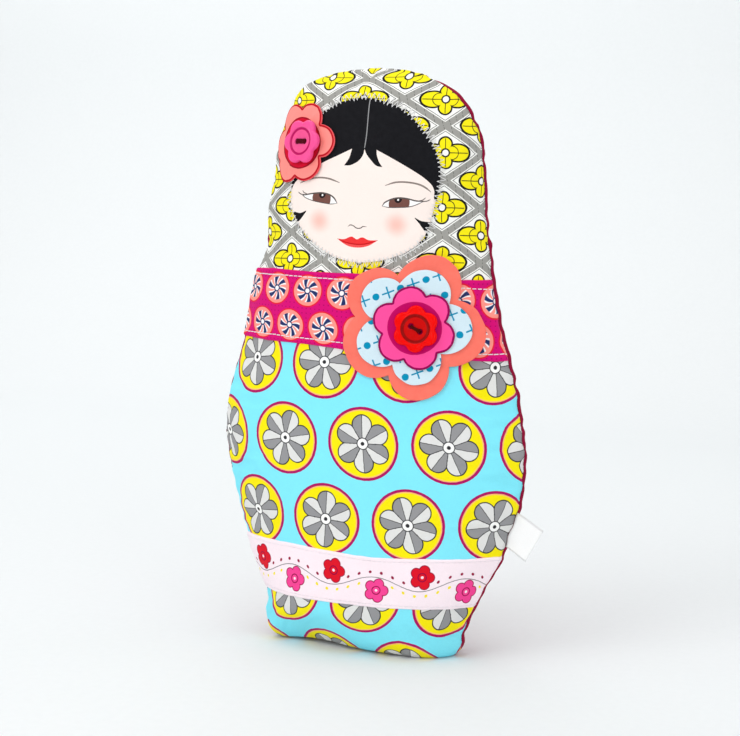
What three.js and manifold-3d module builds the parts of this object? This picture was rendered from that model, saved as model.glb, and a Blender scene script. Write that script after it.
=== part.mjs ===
// Stuffed cloth doll in the outline of a nesting doll.
// Millimetres, +Z up. The front faces -Y, +X is to the viewer's right, and the origin is on the flat base.

import * as THREE from 'three';
import { mergeVertices } from 'three/addons/utils/BufferGeometryUtils.js';
import Module from 'manifold-3d';

const wasm = await Module();
wasm.setup();

// ---------------------------------------------------------------- driving dimensions

const HEIGHT = 300; // base to crown

// half-width of the stuffed outline: height, half-width
const WIDTH_KNOTS = [
  [-10, 50.2], [0, 52.8], [10, 55.0], [20, 57.8], [35, 63.0], [50, 68.2], [65, 73.1], [80, 77.4], [95, 80.3],
  [108, 81.0], [123, 80.1], [138, 77.6], [154, 73.3], [170, 69.5], [184, 67.0], [197, 63.9], [208, 61.2],
  [222, 59.9], [236, 58.2], [250, 56.6], [264, 56.4], [300, 56.4],
];
// half-thickness of the stuffed body: height, half-thickness
const DEPTH_KNOTS = [
  [-10, 22.5], [0, 23.6], [20, 25.4], [50, 27.2], [80, 28.2], [105, 28.6], [140, 27.8], [170, 26.2], [197, 24.4],
  [215, 23.6], [236, 23.4], [255, 23.2], [300, 23.2],
];
const DOME_START_W = 248; // the crown rounds over from here, seen from the front
const DOME_START_D = 236; // and from here, seen from the side
const DOME_POWER_W = 2.45;
const DOME_POWER_D = 2.2;
const BASE_ROUND_W = 7; // rounding between the sides and the flat base
const BASE_ROUND_D = 8.5;

const CLOTH = 0.8; // panel cloth with its interfacing
const GAP = 0.3; // clearance between neighbouring pieces
const SEAM_SLOT = 1.2; // slot between two panels that the seam thread lies in
const SEAM_BACK = 1; // the bottom seam lies this far behind the middle
// the side seams wander in front of the middle and meet over the crown: height, y
const SEAM_KNOTS = [
  [-20, SEAM_BACK], [3, SEAM_BACK], [24, -2.4], [60, -2.6], [110, -3.2], [160, -4.4], [200, -3.3], [240, -2], [286, -1.6], [HEIGHT, 0], [HEIGHT + 20, 0],
];
const YOKE_Z = 177; // joint of head panel and body panel, hidden by the sash

const SASH = { low: 157.4, high: 195.6, slope: -2.7, thick: 0.5, stitchIn: 3.6 }; // sewn a little aslant
const HEM = { low: 28, high: 53.6, slope: 0, thick: 0.5, stitchIn: 1.6 };
const STITCH = { lift: 1.1, thick: 0.4, tall: 0.7 };

const FACE = { x: -1.2, z: 242.2, halfWidth: 39.6, halfHeight: 41, lift: 0.3, thick: 0.5 };
const ZIGZAG = { half: 1.6, lift: 1.1, thick: 0.4 };

// a petal is a round lobe: its direction in degrees, how far out its middle is, and its radius
const evenPetals = (count, ring, lobe, turn) => Array.from({ length: count }, (_, i) => [turn + (i * 360) / count, ring, lobe]);

// the cloth flowers are cut by hand, so their petals are not alike
const HAIR_FLOWER = {
  x: -33.8, z: 261.4, lift: 1.8, thick: 0.7,
  petals: [[1, 12, 8.3], [66, 12.9, 7.9], [122, 12.9, 8.6], [-172, 11.5, 9], [-126, 15.4, 8], [-73, 11, 9.2]],
};
const CHEST = { x: 31, z: 169.6 };
const CHEST_OUTER = { ...CHEST, lift: 1.8, thick: 1.0, petals: [[-6.5, 17.7, 16.5], [76, 20.8, 16.1], [142.5, 24.6, 14.3], [-156, 21.4, 16.4], [-84, 20.6, 15]] };
const CHEST_MIDDLE = { ...CHEST, lift: 3.1, thick: 0.5, petals: [[0, 14.8, 12.5], [78, 16.2, 13.1], [139, 20.6, 10.9], [-155, 18.1, 12], [-86, 15.9, 12]] };
const CHEST_INNER = { ...CHEST, lift: 3.9, thick: 0.5, petals: [[46, 11.7, 8.4], [102, 12.3, 8.5], [162, 12.3, 8.5], [-138, 12.3, 8.5], [-78, 12.3, 8.5], [-20, 11.2, 8.4]] };

const BUTTON = { petals: 6, ring: 7.0, lobe: 4.7, thick: 2.6, rimOut: 7.3, rimIn: 6.1, rimTall: 0.7, hole: 1.4, holeSpan: 4.6 };
const CHEST_BUTTON = { x: 30.8, z: 169.3, lift: 4.7, yaw: 0, turn: 30, holesTurn: -30 };
const HAIR_BUTTON = { x: -31.7, z: 261, lift: 3.3, yaw: -6.5, turn: 0, holesTurn: -1 }; // sits tilted towards the side
const THREAD = 0.45; // radius of a button thread bundle
const KNOT_DEPTH = 2.4; // the thread's inner bar lies this far below the panel's outer face

const LABEL = { z: 69, wide: 18, long: 13.4, tape: 0.5, between: 0.4, slope: 32, clear: 1.2 };
const SEAM_THREAD = 0.25; // radius

// ---------------------------------------------------------------- the stuffed shape

// smooth curve through a list of [z, value] knots
function curveThrough(knots) {
  const n = knots.length;
  const slope = knots.map((k, i) => {
    const a = knots[Math.max(0, i - 1)], b = knots[Math.min(n - 1, i + 1)];
    return (b[1] - a[1]) / (b[0] - a[0]);
  });
  return (z) => {
    let i = 0;
    while (i < n - 2 && z > knots[i + 1][0]) i++;
    const [z0, v0] = knots[i], [z1, v1] = knots[i + 1];
    const h = z1 - z0, s = Math.min(1, Math.max(0, (z - z0) / h));
    const s2 = s * s, s3 = s2 * s;
    return (2 * s3 - 3 * s2 + 1) * v0 + (s3 - 2 * s2 + s) * h * slope[i] + (3 * s2 - 2 * s3) * v1 + (s3 - s2) * h * slope[i + 1];
  };
}

const sideWidth = curveThrough(WIDTH_KNOTS);
const sideDepth = curveThrough(DEPTH_KNOTS);

function dome(z, start, power) {
  if (z <= start) return 1;
  const s = Math.min(1, (z - start) / (HEIGHT - start));
  return Math.pow(Math.max(0, 1 - Math.pow(s, power)), 1 / power);
}

function baseRounding(z, radius) {
  if (z >= radius) return 0;
  const s = 1 - z / radius;
  return radius * (1 - Math.sqrt(Math.max(0, 1 - s * s)));
}

const halfWidth = (z) => sideWidth(z) * dome(z, DOME_START_W, DOME_POWER_W) - baseRounding(z, BASE_ROUND_W);
const halfDepth = (z) => sideDepth(z) * dome(z, DOME_START_D, DOME_POWER_D) - baseRounding(z, BASE_ROUND_D);

function slopeAt(f, z) {
  const e = 0.02;
  const a = Math.max(0.0001, z - e), b = Math.min(HEIGHT - 0.0001, z + e);
  return (f(b) - f(a)) / (b - a);
}

// point of the stuffed surface at height z, angle a round the section (0 is +X, -90 degrees is the front),
// moved out by d along the surface normal
function surfaceAt(z, a, d) {
  if (z >= HEIGHT) return new THREE.Vector3(0, 0, HEIGHT + d);
  if (z <= 0) return new THREE.Vector3(halfWidth(0) * Math.cos(a), halfDepth(0) * Math.sin(a), -d);
  const w = halfWidth(z), t = halfDepth(z);
  const c = Math.cos(a), s = Math.sin(a);
  const normal = new THREE.Vector3(c / w, s / t, -(c * c * slopeAt(halfWidth, z)) / w - (s * s * slopeAt(halfDepth, z)) / t).normalize();
  return new THREE.Vector3(w * c, t * s, z).addScaledVector(normal, d);
}

// point and normal of the front at x, z
function frontAt(x, z, d = 0) {
  const w = halfWidth(z);
  const a = -Math.acos(Math.min(0.9999, Math.max(-0.9999, x / w)));
  const p = surfaceAt(z, a, d);
  const normal = surfaceAt(z, a, d + 1).sub(p).normalize();
  return { p, normal };
}

// x of the point that lies a distance along the cloth from the one at x0, both at height z
function alongCloth(x0, z, distance) {
  const w = halfWidth(z), t = halfDepth(z);
  let a = Math.asin(Math.min(0.999, Math.max(-0.999, x0 / w)));
  const n = 24, step = distance / n;
  for (let i = 0; i < n; i++) {
    a += step / Math.hypot(w * Math.cos(a), t * Math.sin(a));
    a = Math.min(1.52, Math.max(-1.52, a));
  }
  return w * Math.sin(a);
}

const FINE_RINGS = [
  300, 297.6, 291.5, 282, 269, 254, 237, 219, 206, 195, 182, 167, 152, 137, 122, 107, 92, 77, 62, 47, 33, 20, 10, 4, 1, 0,
];
const COARSE_RINGS = [300, 295, 283, 264, 240, 216, 198, 180, 158, 134, 108, 82, 58, 36, 18, 7, 2, 0];

// closed stuffed shape, moved out by d all over
function pillow(d, rings = FINE_RINGS, around = 28) {
  const rows = rings.length; // the last row is the middle of the base
  const g = new THREE.SphereGeometry(1, around, rows);
  const pos = g.attributes.position, uv = g.attributes.uv;
  for (let i = 0; i < pos.count; i++) {
    const row = Math.round((1 - uv.getY(i)) * rows);
    if (row === rows) pos.setXYZ(i, 0, 0, -d);
    else if (row === 0) pos.setXYZ(i, 0, 0, HEIGHT + d);
    else {
      const a = Math.PI + uv.getX(i) * Math.PI * 2;
      const p = surfaceAt(rings[row], a, d);
      pos.setXYZ(i, p.x, p.y, p.z);
    }
  }
  return solid(g);
}

// ---------------------------------------------------------------- solids

function solid(geometry) {
  let g = geometry.clone();
  g.deleteAttribute('normal');
  g.deleteAttribute('uv');
  g = mergeVertices(g, 1e-4);
  return new wasm.Manifold(new wasm.Mesh({
    numProp: 3,
    vertProperties: new Float32Array(g.attributes.position.array),
    triVerts: new Uint32Array(g.index.array),
  }));
}

function geometryOf(body) {
  const m = body.getMesh();
  const g = new THREE.BufferGeometry();
  g.setAttribute('position', new THREE.BufferAttribute(new Float32Array(m.vertProperties), 3));
  g.setIndex(new THREE.BufferAttribute(new Uint32Array(m.triVerts), 1));
  g.computeVertexNormals();
  return g;
}

// slice between two heights, sloped by some degrees about the middle
function between(z0, z1, slope = 0) {
  const g = new THREE.BoxGeometry(400, 400, z1 - z0);
  g.rotateY(THREE.MathUtils.degToRad(-slope));
  g.translate(0, 0, (z0 + z1) / 2);
  return solid(g);
}

const seamY = (z) => {
  const i = Math.max(1, SEAM_KNOTS.findIndex((k) => k[0] >= z));
  const [z0, y0] = SEAM_KNOTS[i - 1], [z1, y1] = SEAM_KNOTS[i];
  return y0 + ((y1 - y0) * (z - z0)) / (z1 - z0);
};

// everything in front of (side -1) or behind (side +1) the seam line, clear of it by `clear`
function sideOfSeam(side, clear) {
  const pts = SEAM_KNOTS.map(([z, y]) => new THREE.Vector2(y + side * clear, z));
  pts.push(new THREE.Vector2(side * 120, HEIGHT + 20), new THREE.Vector2(side * 120, -20));
  const g = new THREE.ExtrudeGeometry(new THREE.Shape(pts), { depth: 400, bevelEnabled: false });
  // shape X is the doll's Y, shape Y its Z, and the extrusion runs along its X
  g.applyMatrix4(new THREE.Matrix4().makeBasis(new THREE.Vector3(0, 1, 0), new THREE.Vector3(0, 0, 1), new THREE.Vector3(1, 0, 0)));
  g.translate(-200, 0, 0);
  return solid(g);
}

// prism along Y of an outline given as [x, z] points
function prism(points) {
  const g = new THREE.ExtrudeGeometry(new THREE.Shape(points.map(([x, z]) => new THREE.Vector2(x, z))), { depth: 120, bevelEnabled: false });
  g.rotateX(Math.PI / 2); // the extrusion now runs towards -Y
  return solid(g);
}

function ellipse(x, z, a, b, n = 44) {
  return Array.from({ length: n }, (_, i) => {
    const t = (i / n) * Math.PI * 2;
    return [x + a * Math.cos(t), z + b * Math.sin(t)];
  });
}

// radius of a flower outline at an angle: the farthest of the lobes there
function petalRadius(petals, angle) {
  let r = 0;
  for (const [direction, ring, lobe] of petals) {
    const b = angle - THREE.MathUtils.degToRad(direction);
    const chord = lobe ** 2 - (ring * Math.sin(b)) ** 2;
    if (Math.cos(b) > 0 && chord > 0) r = Math.max(r, ring * Math.cos(b) + Math.sqrt(chord));
  }
  return r;
}

function flat(petals, perPetal) {
  const n = petals.length * perPetal;
  const start = THREE.MathUtils.degToRad(petals[0][0]);
  return Array.from({ length: n }, (_, i) => {
    const a = start + (i / n) * Math.PI * 2;
    const r = petalRadius(petals, a);
    return [r * Math.cos(a), r * Math.sin(a)];
  });
}

const shellCache = new Map();
function shell(d0, d1) {
  const key = `${d0},${d1}`;
  if (!shellCache.has(key)) shellCache.set(key, pillow(d1).subtract(pillow(d0)));
  return shellCache.get(key);
}

const inFront = sideOfSeam(-1, SEAM_SLOT / 2);
const behind = sideOfSeam(1, SEAM_SLOT / 2);

// cloth flower that lies on the front and follows its curve
function clothFlower(f) {
  const outline = flat(f.petals, 8).map(([x, z]) => [alongCloth(f.x, f.z + z, x), f.z + z]);
  return shell(f.lift, f.lift + f.thick).intersect(prism(outline)).intersect(inFront);
}

// tube along a list of points
function tube(points, radius, steps, sides = 6) {
  const ring = Array.from({ length: sides }, (_, i) => new THREE.Vector2(radius * Math.cos((i / sides) * Math.PI * 2), radius * Math.sin((i / sides) * Math.PI * 2)));
  const path = new THREE.CatmullRomCurve3(points, false, 'centripetal');
  return new THREE.ExtrudeGeometry(new THREE.Shape(ring), { steps, bevelEnabled: false, extrudePath: path });
}

// ---------------------------------------------------------------- cloth pieces

const outer = pillow(0);
const skin = outer.subtract(pillow(-CLOTH));
const frontSkin = skin.intersect(inFront);

let headPanel = frontSkin.intersect(between(YOKE_Z + SEAM_SLOT / 2, HEIGHT + 20));
let bodyPanel = frontSkin.intersect(between(-20, YOKE_Z - SEAM_SLOT / 2));
const backPanel = skin.intersect(behind);
let core = pillow(-CLOTH - 1.1, COARSE_RINGS, 20);

const bandShell = shell(GAP, GAP + SASH.thick).intersect(inFront);
let sash = bandShell.intersect(between(SASH.low, SASH.high, SASH.slope));
const hem = bandShell.intersect(between(HEM.low, HEM.high, HEM.slope));

const stitchShell = shell(STITCH.lift, STITCH.lift + STITCH.thick).intersect(inFront);
const stitchRow = (z, slope) => stitchShell.intersect(between(z - STITCH.tall / 2, z + STITCH.tall / 2, slope));
const sashUpper = stitchRow(SASH.high - SASH.stitchIn, SASH.slope);
const sashLower = stitchRow(SASH.low + SASH.stitchIn, SASH.slope);
const hemUpper = stitchRow(HEM.high - HEM.stitchIn, HEM.slope);
const hemLower = stitchRow(HEM.low + HEM.stitchIn, HEM.slope);

let face = shell(FACE.lift, FACE.lift + FACE.thick).intersect(prism(ellipse(FACE.x, FACE.z, FACE.halfWidth, FACE.halfHeight))).intersect(inFront);
let zigzag = shell(ZIGZAG.lift, ZIGZAG.lift + ZIGZAG.thick)
  .intersect(prism(ellipse(FACE.x, FACE.z, FACE.halfWidth + ZIGZAG.half, FACE.halfHeight + ZIGZAG.half)))
  .subtract(prism(ellipse(FACE.x, FACE.z, FACE.halfWidth - ZIGZAG.half, FACE.halfHeight - ZIGZAG.half)))
  .intersect(inFront);

let hairFlower = clothFlower(HAIR_FLOWER);
let chestOuter = clothFlower(CHEST_OUTER);
let chestMiddle = clothFlower(CHEST_MIDDLE);
let chestInner = clothFlower(CHEST_INNER);

// ---------------------------------------------------------------- buttons and their threads

// frame on the front at a button: Z out of the cloth, Y up, turned to the side by the yaw
function buttonFrame(b) {
  const { p, normal } = frontAt(b.x, b.z, b.lift);
  normal.applyAxisAngle(new THREE.Vector3(0, 0, 1), THREE.MathUtils.degToRad(b.yaw));
  const right = new THREE.Vector3(0, 0, 1).cross(normal).normalize();
  const up = normal.clone().cross(right);
  return new THREE.Matrix4().makeBasis(right, up, normal).setPosition(p);
}

const spin = (deg, x) => {
  const a = THREE.MathUtils.degToRad(deg);
  return new THREE.Vector2(x * Math.cos(a), x * Math.sin(a));
};

function buttonSolid(b) {
  const outline = flat(evenPetals(BUTTON.petals, BUTTON.ring, BUTTON.lobe, b.turn), 6).map(([x, y]) => new THREE.Vector2(x, y));
  const slab = new THREE.ExtrudeGeometry(new THREE.Shape(outline), { depth: BUTTON.thick, bevelEnabled: false });
  const h = BUTTON.thick;
  const rim = new THREE.LatheGeometry([
    new THREE.Vector2(BUTTON.rimIn, h - 0.5), new THREE.Vector2(BUTTON.rimOut, h - 0.5), new THREE.Vector2(BUTTON.rimOut, h + BUTTON.rimTall * 0.6),
    new THREE.Vector2((BUTTON.rimOut + BUTTON.rimIn) / 2, h + BUTTON.rimTall), new THREE.Vector2(BUTTON.rimIn, h + BUTTON.rimTall * 0.6),
    new THREE.Vector2(BUTTON.rimIn, h - 0.5),
  ], 18);
  rim.rotateX(Math.PI / 2);
  let body = solid(slab).add(solid(rim));
  for (const side of [-1, 1]) {
    const c = spin(b.holesTurn, (side * BUTTON.holeSpan) / 2);
    const hole = new THREE.CylinderGeometry(BUTTON.hole, BUTTON.hole, 12, 10);
    hole.rotateX(Math.PI / 2);
    hole.translate(c.x, c.y, 0);
    body = body.subtract(solid(hole));
  }
  return geometryOf(body);
}

// closed loop of thread: over the button, down through both holes, and across behind the cloth
function threadSolid(b) {
  const top = BUTTON.thick + GAP + THREAD;
  const bottom = -(b.lift + KNOT_DEPTH);
  const bar = (length, z, turned) => {
    const g = new THREE.CylinderGeometry(THREAD, THREAD, length, 8);
    if (turned) g.rotateZ(Math.PI / 2);
    g.translate(0, 0, z);
    return g;
  };
  const span = BUTTON.holeSpan;
  let body = solid(bar(span + 2 * THREAD, top, true)).add(solid(bar(span + 2 * THREAD, bottom, true)));
  for (const side of [-1, 1]) {
    const leg = new THREE.CylinderGeometry(THREAD, THREAD, top - bottom, 8);
    leg.rotateX(Math.PI / 2);
    leg.translate((side * span) / 2, 0, (top + bottom) / 2);
    body = body.add(solid(leg));
  }
  const g = geometryOf(body);
  g.rotateZ(THREE.MathUtils.degToRad(b.holesTurn));
  return g;
}

// the two holes that the thread makes in every layer it passes
function threadHoles(b) {
  const frame = buttonFrame(b);
  const holes = [-1, 1].map((side) => {
    const c = spin(b.holesTurn, (side * BUTTON.holeSpan) / 2);
    const g = new THREE.CylinderGeometry(THREAD + 0.35, THREAD + 0.35, 24, 10);
    g.rotateX(Math.PI / 2);
    g.translate(c.x, c.y, -6);
    return solid(g.applyMatrix4(frame));
  });
  return holes[0].add(holes[1]);
}

// pocket in the stuffing for the thread's inner bar
function knotPocket(b) {
  const g = new THREE.CylinderGeometry(4, 4, 8, 12);
  g.rotateX(Math.PI / 2);
  g.translate(0, 0, -b.lift - KNOT_DEPTH + 4 - THREAD - 0.6);
  return solid(g.applyMatrix4(buttonFrame(b)));
}

const chestHoles = threadHoles(CHEST_BUTTON);
chestInner = chestInner.subtract(chestHoles);
chestMiddle = chestMiddle.subtract(chestHoles);
chestOuter = chestOuter.subtract(chestHoles);
sash = sash.subtract(chestHoles);
bodyPanel = bodyPanel.subtract(chestHoles);

const hairHoles = threadHoles(HAIR_BUTTON);
hairFlower = hairFlower.subtract(hairHoles);
face = face.subtract(hairHoles);
headPanel = headPanel.subtract(hairHoles);
{
  // the zigzag row opens where the button's thread passes
  const g = new THREE.CylinderGeometry(4.5, 4.5, 24, 16);
  g.rotateX(Math.PI / 2);
  zigzag = zigzag.subtract(solid(g.applyMatrix4(buttonFrame(HAIR_BUTTON))));
}
core = core.subtract(knotPocket(CHEST_BUTTON)).subtract(knotPocket(HAIR_BUTTON));

// ---------------------------------------------------------------- seams

// point on the seam line at height z, on the side of +X (1) or -X (-1)
function seamPoint(z, side, d) {
  const y = seamY(z);
  const a = Math.asin(Math.max(-0.98, Math.min(0.98, y / Math.max(1, halfDepth(z)))));
  const p = surfaceAt(z, side > 0 ? a : Math.PI - a, d);
  p.y = y;
  return p;
}

const seamDepth = -0.35;
const closingHalf = 27; // half the length of the hand-closed gap in the base
const seamHeights = [1.5, 3, 6, 10, 14, 19, 24, 34, 46, 60, 75, 90, 110, 126, 144, 160, 173, 186, 200, 214, 228, 240, 254, 266, 276, 286, 291.5, 296, 298.7];
const seamPath = [
  new THREE.Vector3(closingHalf + 0.8, SEAM_BACK, -seamDepth),
  new THREE.Vector3(38, SEAM_BACK, -seamDepth),
  ...seamHeights.map((z) => seamPoint(z, 1, seamDepth)),
  new THREE.Vector3(0, 0, HEIGHT + seamDepth),
  ...seamHeights.toReversed().map((z) => seamPoint(z, -1, seamDepth)),
  new THREE.Vector3(-38, SEAM_BACK, -seamDepth),
  new THREE.Vector3(-closingHalf - 0.8, SEAM_BACK, -seamDepth),
];
const sideSeam = tube(seamPath, SEAM_THREAD, 120, 5);
const closing = tube(
  Array.from({ length: 19 }, (_, i) => new THREE.Vector3(-closingHalf + (i / 18) * closingHalf * 2, SEAM_BACK + (i % 2 ? 0.05 : -0.05), -seamDepth)),
  SEAM_THREAD, 18, 5);
const yokeAngles = Array.from({ length: 25 }, (_, i) => -Math.PI * 0.065 - (i / 24) * Math.PI * 0.87);
const yokeSeam = tube(yokeAngles.map((a) => surfaceAt(YOKE_Z, a, seamDepth)), SEAM_THREAD, 30, 5);

// ---------------------------------------------------------------- label loop

// folded tape, caught in the seam on the +X side and sloping down
function labelSolid() {
  const half = LABEL.between / 2 + LABEL.tape;
  const inner = LABEL.between / 2;
  const s = new THREE.Shape();
  const L = LABEL.long;
  s.moveTo(-6, -half);
  s.lineTo(L - half, -half);
  s.absarc(L - half, 0, half, -Math.PI / 2, Math.PI / 2, false);
  s.lineTo(-6, half);
  s.lineTo(-6, inner);
  s.lineTo(L - half, inner);
  s.absarc(L - half, 0, inner, Math.PI / 2, -Math.PI / 2, true);
  s.lineTo(-6, -inner);
  s.closePath();
  const g = new THREE.ExtrudeGeometry(s, { depth: LABEL.wide, bevelEnabled: false, curveSegments: 6 });
  g.translate(0, 0, -LABEL.wide / 2);
  const slope = THREE.MathUtils.degToRad(LABEL.slope);
  const along = new THREE.Vector3(Math.cos(slope), 0, -Math.sin(slope));
  const thick = new THREE.Vector3(0, 1, 0);
  const across = along.clone().cross(thick);
  g.applyMatrix4(new THREE.Matrix4().makeBasis(along, thick, across).setPosition(seamPoint(LABEL.z, 1, 0)));
  return geometryOf(solid(g).subtract(pillow(LABEL.clear)));
}

// ---------------------------------------------------------------- the doll

const cloth = (hex) => new THREE.MeshStandardMaterial({ color: hex, roughness: 0.9, metalness: 0 });
const plastic = (hex) => new THREE.MeshStandardMaterial({ color: hex, roughness: 0.25, metalness: 0 });

const doll = new THREE.Group();
doll.name = 'doll';

function piece(name, shape, material, parent = doll) {
  const geometry = shape.isBufferGeometry ? shape : geometryOf(shape);
  const mesh = new THREE.Mesh(geometry, material);
  mesh.name = name;
  parent.add(mesh);
  return mesh;
}

piece('stuffing_core', core, cloth(0xf4f2ec));
piece('head_panel', headPanel, cloth(0xd8d8d4));
piece('body_panel', bodyPanel, cloth(0x89eefa));
piece('back_panel', backPanel, cloth(0xb0104e));
piece('sash_band', sash, cloth(0xdc0082));
piece('hem_band', hem, cloth(0xfdeef5));
piece('face_applique', face, cloth(0xfff3ee));
piece('face_zigzag_stitch', zigzag, cloth(0xffffff));
piece('sash_stitch_upper', sashUpper, cloth(0xffffff));
piece('sash_stitch_lower', sashLower, cloth(0xffffff));
piece('hem_stitch_upper', hemUpper, cloth(0xfae6ee));
piece('hem_stitch_lower', hemLower, cloth(0xfae6ee));
piece('hair_flower', hairFlower, cloth(0xff9691));
piece('chest_flower_outer', chestOuter, cloth(0xff7869));
piece('chest_flower_middle', chestMiddle, cloth(0xdceef5));
piece('chest_flower_inner', chestInner, cloth(0xf5559b));
piece('side_seam_thread', sideSeam, cloth(0xa01048));
piece('closing_stitch', closing, cloth(0xa01048));
piece('yoke_seam_thread', yokeSeam, cloth(0xf0f0f0));
piece('label_loop', labelSolid(), cloth(0xfafaf8));

for (const [name, spec, colour, threadColour] of [['hair_button', HAIR_BUTTON, 0xff8fb0, 0x5a1020], ['chest_button', CHEST_BUTTON, 0xf50f00, 0x8c0000]]) {
  const seat = new THREE.Group();
  seat.applyMatrix4(buttonFrame(spec));
  doll.add(seat);
  piece(name, buttonSolid(spec), plastic(colour), seat);
  piece(`${name}_thread`, threadSolid(spec), cloth(threadColour), seat);
}

export default doll;
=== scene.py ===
import math
import time
import bpy
import numpy as np
from mathutils import Matrix, Vector
from mathutils.geometry import delaunay_2d_cdt


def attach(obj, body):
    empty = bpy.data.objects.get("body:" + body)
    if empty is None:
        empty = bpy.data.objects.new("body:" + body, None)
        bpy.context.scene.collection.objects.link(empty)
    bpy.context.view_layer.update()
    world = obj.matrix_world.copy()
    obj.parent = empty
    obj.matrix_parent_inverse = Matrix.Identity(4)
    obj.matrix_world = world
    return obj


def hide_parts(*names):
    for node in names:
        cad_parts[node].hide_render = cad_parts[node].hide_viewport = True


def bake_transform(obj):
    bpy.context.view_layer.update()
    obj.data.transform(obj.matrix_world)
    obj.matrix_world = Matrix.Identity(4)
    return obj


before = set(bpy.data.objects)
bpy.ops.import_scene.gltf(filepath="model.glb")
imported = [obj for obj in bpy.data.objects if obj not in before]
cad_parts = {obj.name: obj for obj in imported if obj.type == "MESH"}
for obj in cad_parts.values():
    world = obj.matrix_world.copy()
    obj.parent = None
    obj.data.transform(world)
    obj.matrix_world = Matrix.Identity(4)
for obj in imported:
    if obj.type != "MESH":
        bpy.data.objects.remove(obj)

T0 = time.time()
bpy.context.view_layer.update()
MM = 0.001
PI = math.pi

# ---------------------------------------------------------------- the pillow shape, in millimetres
HEIGHT = 300.0
W_KNOTS = [[-10, 50.2], [0, 52.8], [10, 55.0], [20, 57.8], [35, 63.0], [50, 68.2], [65, 73.1], [80, 77.4], [95, 80.3], [108, 81.0], [123, 80.1],
           [138, 77.6], [154, 73.3], [170, 69.5], [184, 67.0], [197, 63.9], [208, 61.2], [222, 59.9], [236, 58.2], [250, 56.6], [264, 56.4], [300, 56.4]]
D_KNOTS = [[-10, 22.5], [0, 23.6], [20, 25.4], [50, 27.2], [80, 28.2], [105, 28.6], [140, 27.8], [170, 26.2], [197, 24.4], [215, 23.6], [236, 23.4],
           [255, 23.2], [300, 23.2]]
# how far the doll's middle line wanders to the side at each height: it is sewn and stuffed by hand
C_KNOTS = [[-10, -1.2], [0, -1.2], [8, -1.9], [14, -1.9], [20, -1.0], [30, 0.8], [45, 1.8], [75, 1.4], [92, 0.9], [108, -0.5], [125, -1.3], [140, -0.9], [160, -0.6],
           [178, -1.3], [194, -0.6], [208, 1.0], [226, 0.0], [244, 1.1], [262, 0.4], [280, -1.5], [292, -2.0], [300, -1.5]]
# where the side seams run, in front of the middle (minus) or behind it
S_KNOTS = [[-20, 1.0], [1, 1.0], [10, -2.6], [24, -3.8], [45, -3.2], [60, -2.8], [110, -3.2], [160, -4.4], [200, -3.3], [240, -2.0], [286, -1.6], [300, 0.0]]
YOKE_Z = 177.0
# how far each side stands out (plus) or in (minus) from the even pattern: the ribbon draws the cloth in above the base, and the crown's corner is full
LEFT_OUT = [[0, 0], [11, -0.2], [16, -1.1], [22, -3.7], [28, -3.6], [34, -2.4], [40, -1.3], [48, -0.3], [58, -0.1], [66, -0.7], [76, -0.6], [90, -0.4], [110, 0], [150, -0.4], [180, -0.7], [195, -0.5], [230, 0.2],
            [245, -0.5], [256, -0.7], [262, -1.7], [268, -3.2], [276, -3.7], [282, -2.9], [286, -0.8], [289, 1.0], [293, 1.9], [297, 1.0], [300, 0]]
RIGHT_OUT = [[0, 0], [8, -0.6], [20, -1.5], [33, -1.9], [43, -1.1], [48, 0.2], [53, 1.4], [58, 0.8], [68, 0.7], [80, 1.6], [92, 1.1], [110, 1.5], [130, 1.3], [152, 0.9],
             [170, 0.4], [190, 0.1], [205, -0.3], [228, -0.6], [250, -0.5], [268, 0.2], [278, 0.2], [284, 0.7], [289, 0.9], [295, 0.5], [300, 0]]


def curve_through(knots):
    k = np.array(knots, float)
    z, v = k[:, 0], k[:, 1]
    lo, hi = np.r_[0, np.arange(len(z) - 1)], np.r_[np.arange(1, len(z)), len(z) - 1]
    m = (v[hi] - v[lo]) / (z[hi] - z[lo])

    def f(q):
        q = np.asarray(q, float)
        i = np.clip(np.searchsorted(z, q, side="left") - 1, 0, len(z) - 2)
        h = z[i + 1] - z[i]
        s = np.clip((q - z[i]) / h, 0, 1)
        s2, s3 = s * s, s * s * s
        return (2 * s3 - 3 * s2 + 1) * v[i] + (s3 - 2 * s2 + s) * h * m[i] + (3 * s2 - 2 * s3) * v[i + 1] + (s3 - s2) * h * m[i + 1]

    return f


side_width, side_depth, centre_line = curve_through(W_KNOTS), curve_through(D_KNOTS), curve_through(C_KNOTS)


def dome(z, start, power):
    s = np.clip((z - start) / (HEIGHT - start), 0, 1)
    return np.power(np.maximum(0, 1 - np.power(s, power)), 1 / power)


def base_rounding(z, r):
    s = np.clip(1 - z / r, 0, 1)
    return r * (1 - np.sqrt(np.maximum(0, 1 - s * s)))


def half_width(z):
    return side_width(z) * dome(z, 248, 2.45) - base_rounding(z, 7.0)


def half_depth(z):
    return side_depth(z) * dome(z, 236, 2.2) - base_rounding(z, 8.5)


def seam_y(z):
    """The side seams wander in front of the middle; the seam under the base lies a little behind it."""
    return np.interp(z, [k[0] for k in S_KNOTS], [k[1] for k in S_KNOTS])


def seam_angle(z):
    return np.arcsin(np.clip(seam_y(z) / np.maximum(half_depth(z), 1.0), -0.98, 0.98))


def smooth(a, b, x):
    t = np.clip((x - a) / (b - a), 0, 1)
    return t * t * (3 - 2 * t)


def hash01(i, j=0.0, k=0.0):
    v = np.sin(i * 127.1 + j * 311.7 + k * 74.7) * 43758.5453
    return v - np.floor(v)


def noise1(x, seed=0.0):
    i = np.floor(x)
    f = x - i
    f = f * f * (3 - 2 * f)
    return 2 * (hash01(i, seed) * (1 - f) + hash01(i + 1, seed) * f) - 1


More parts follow.
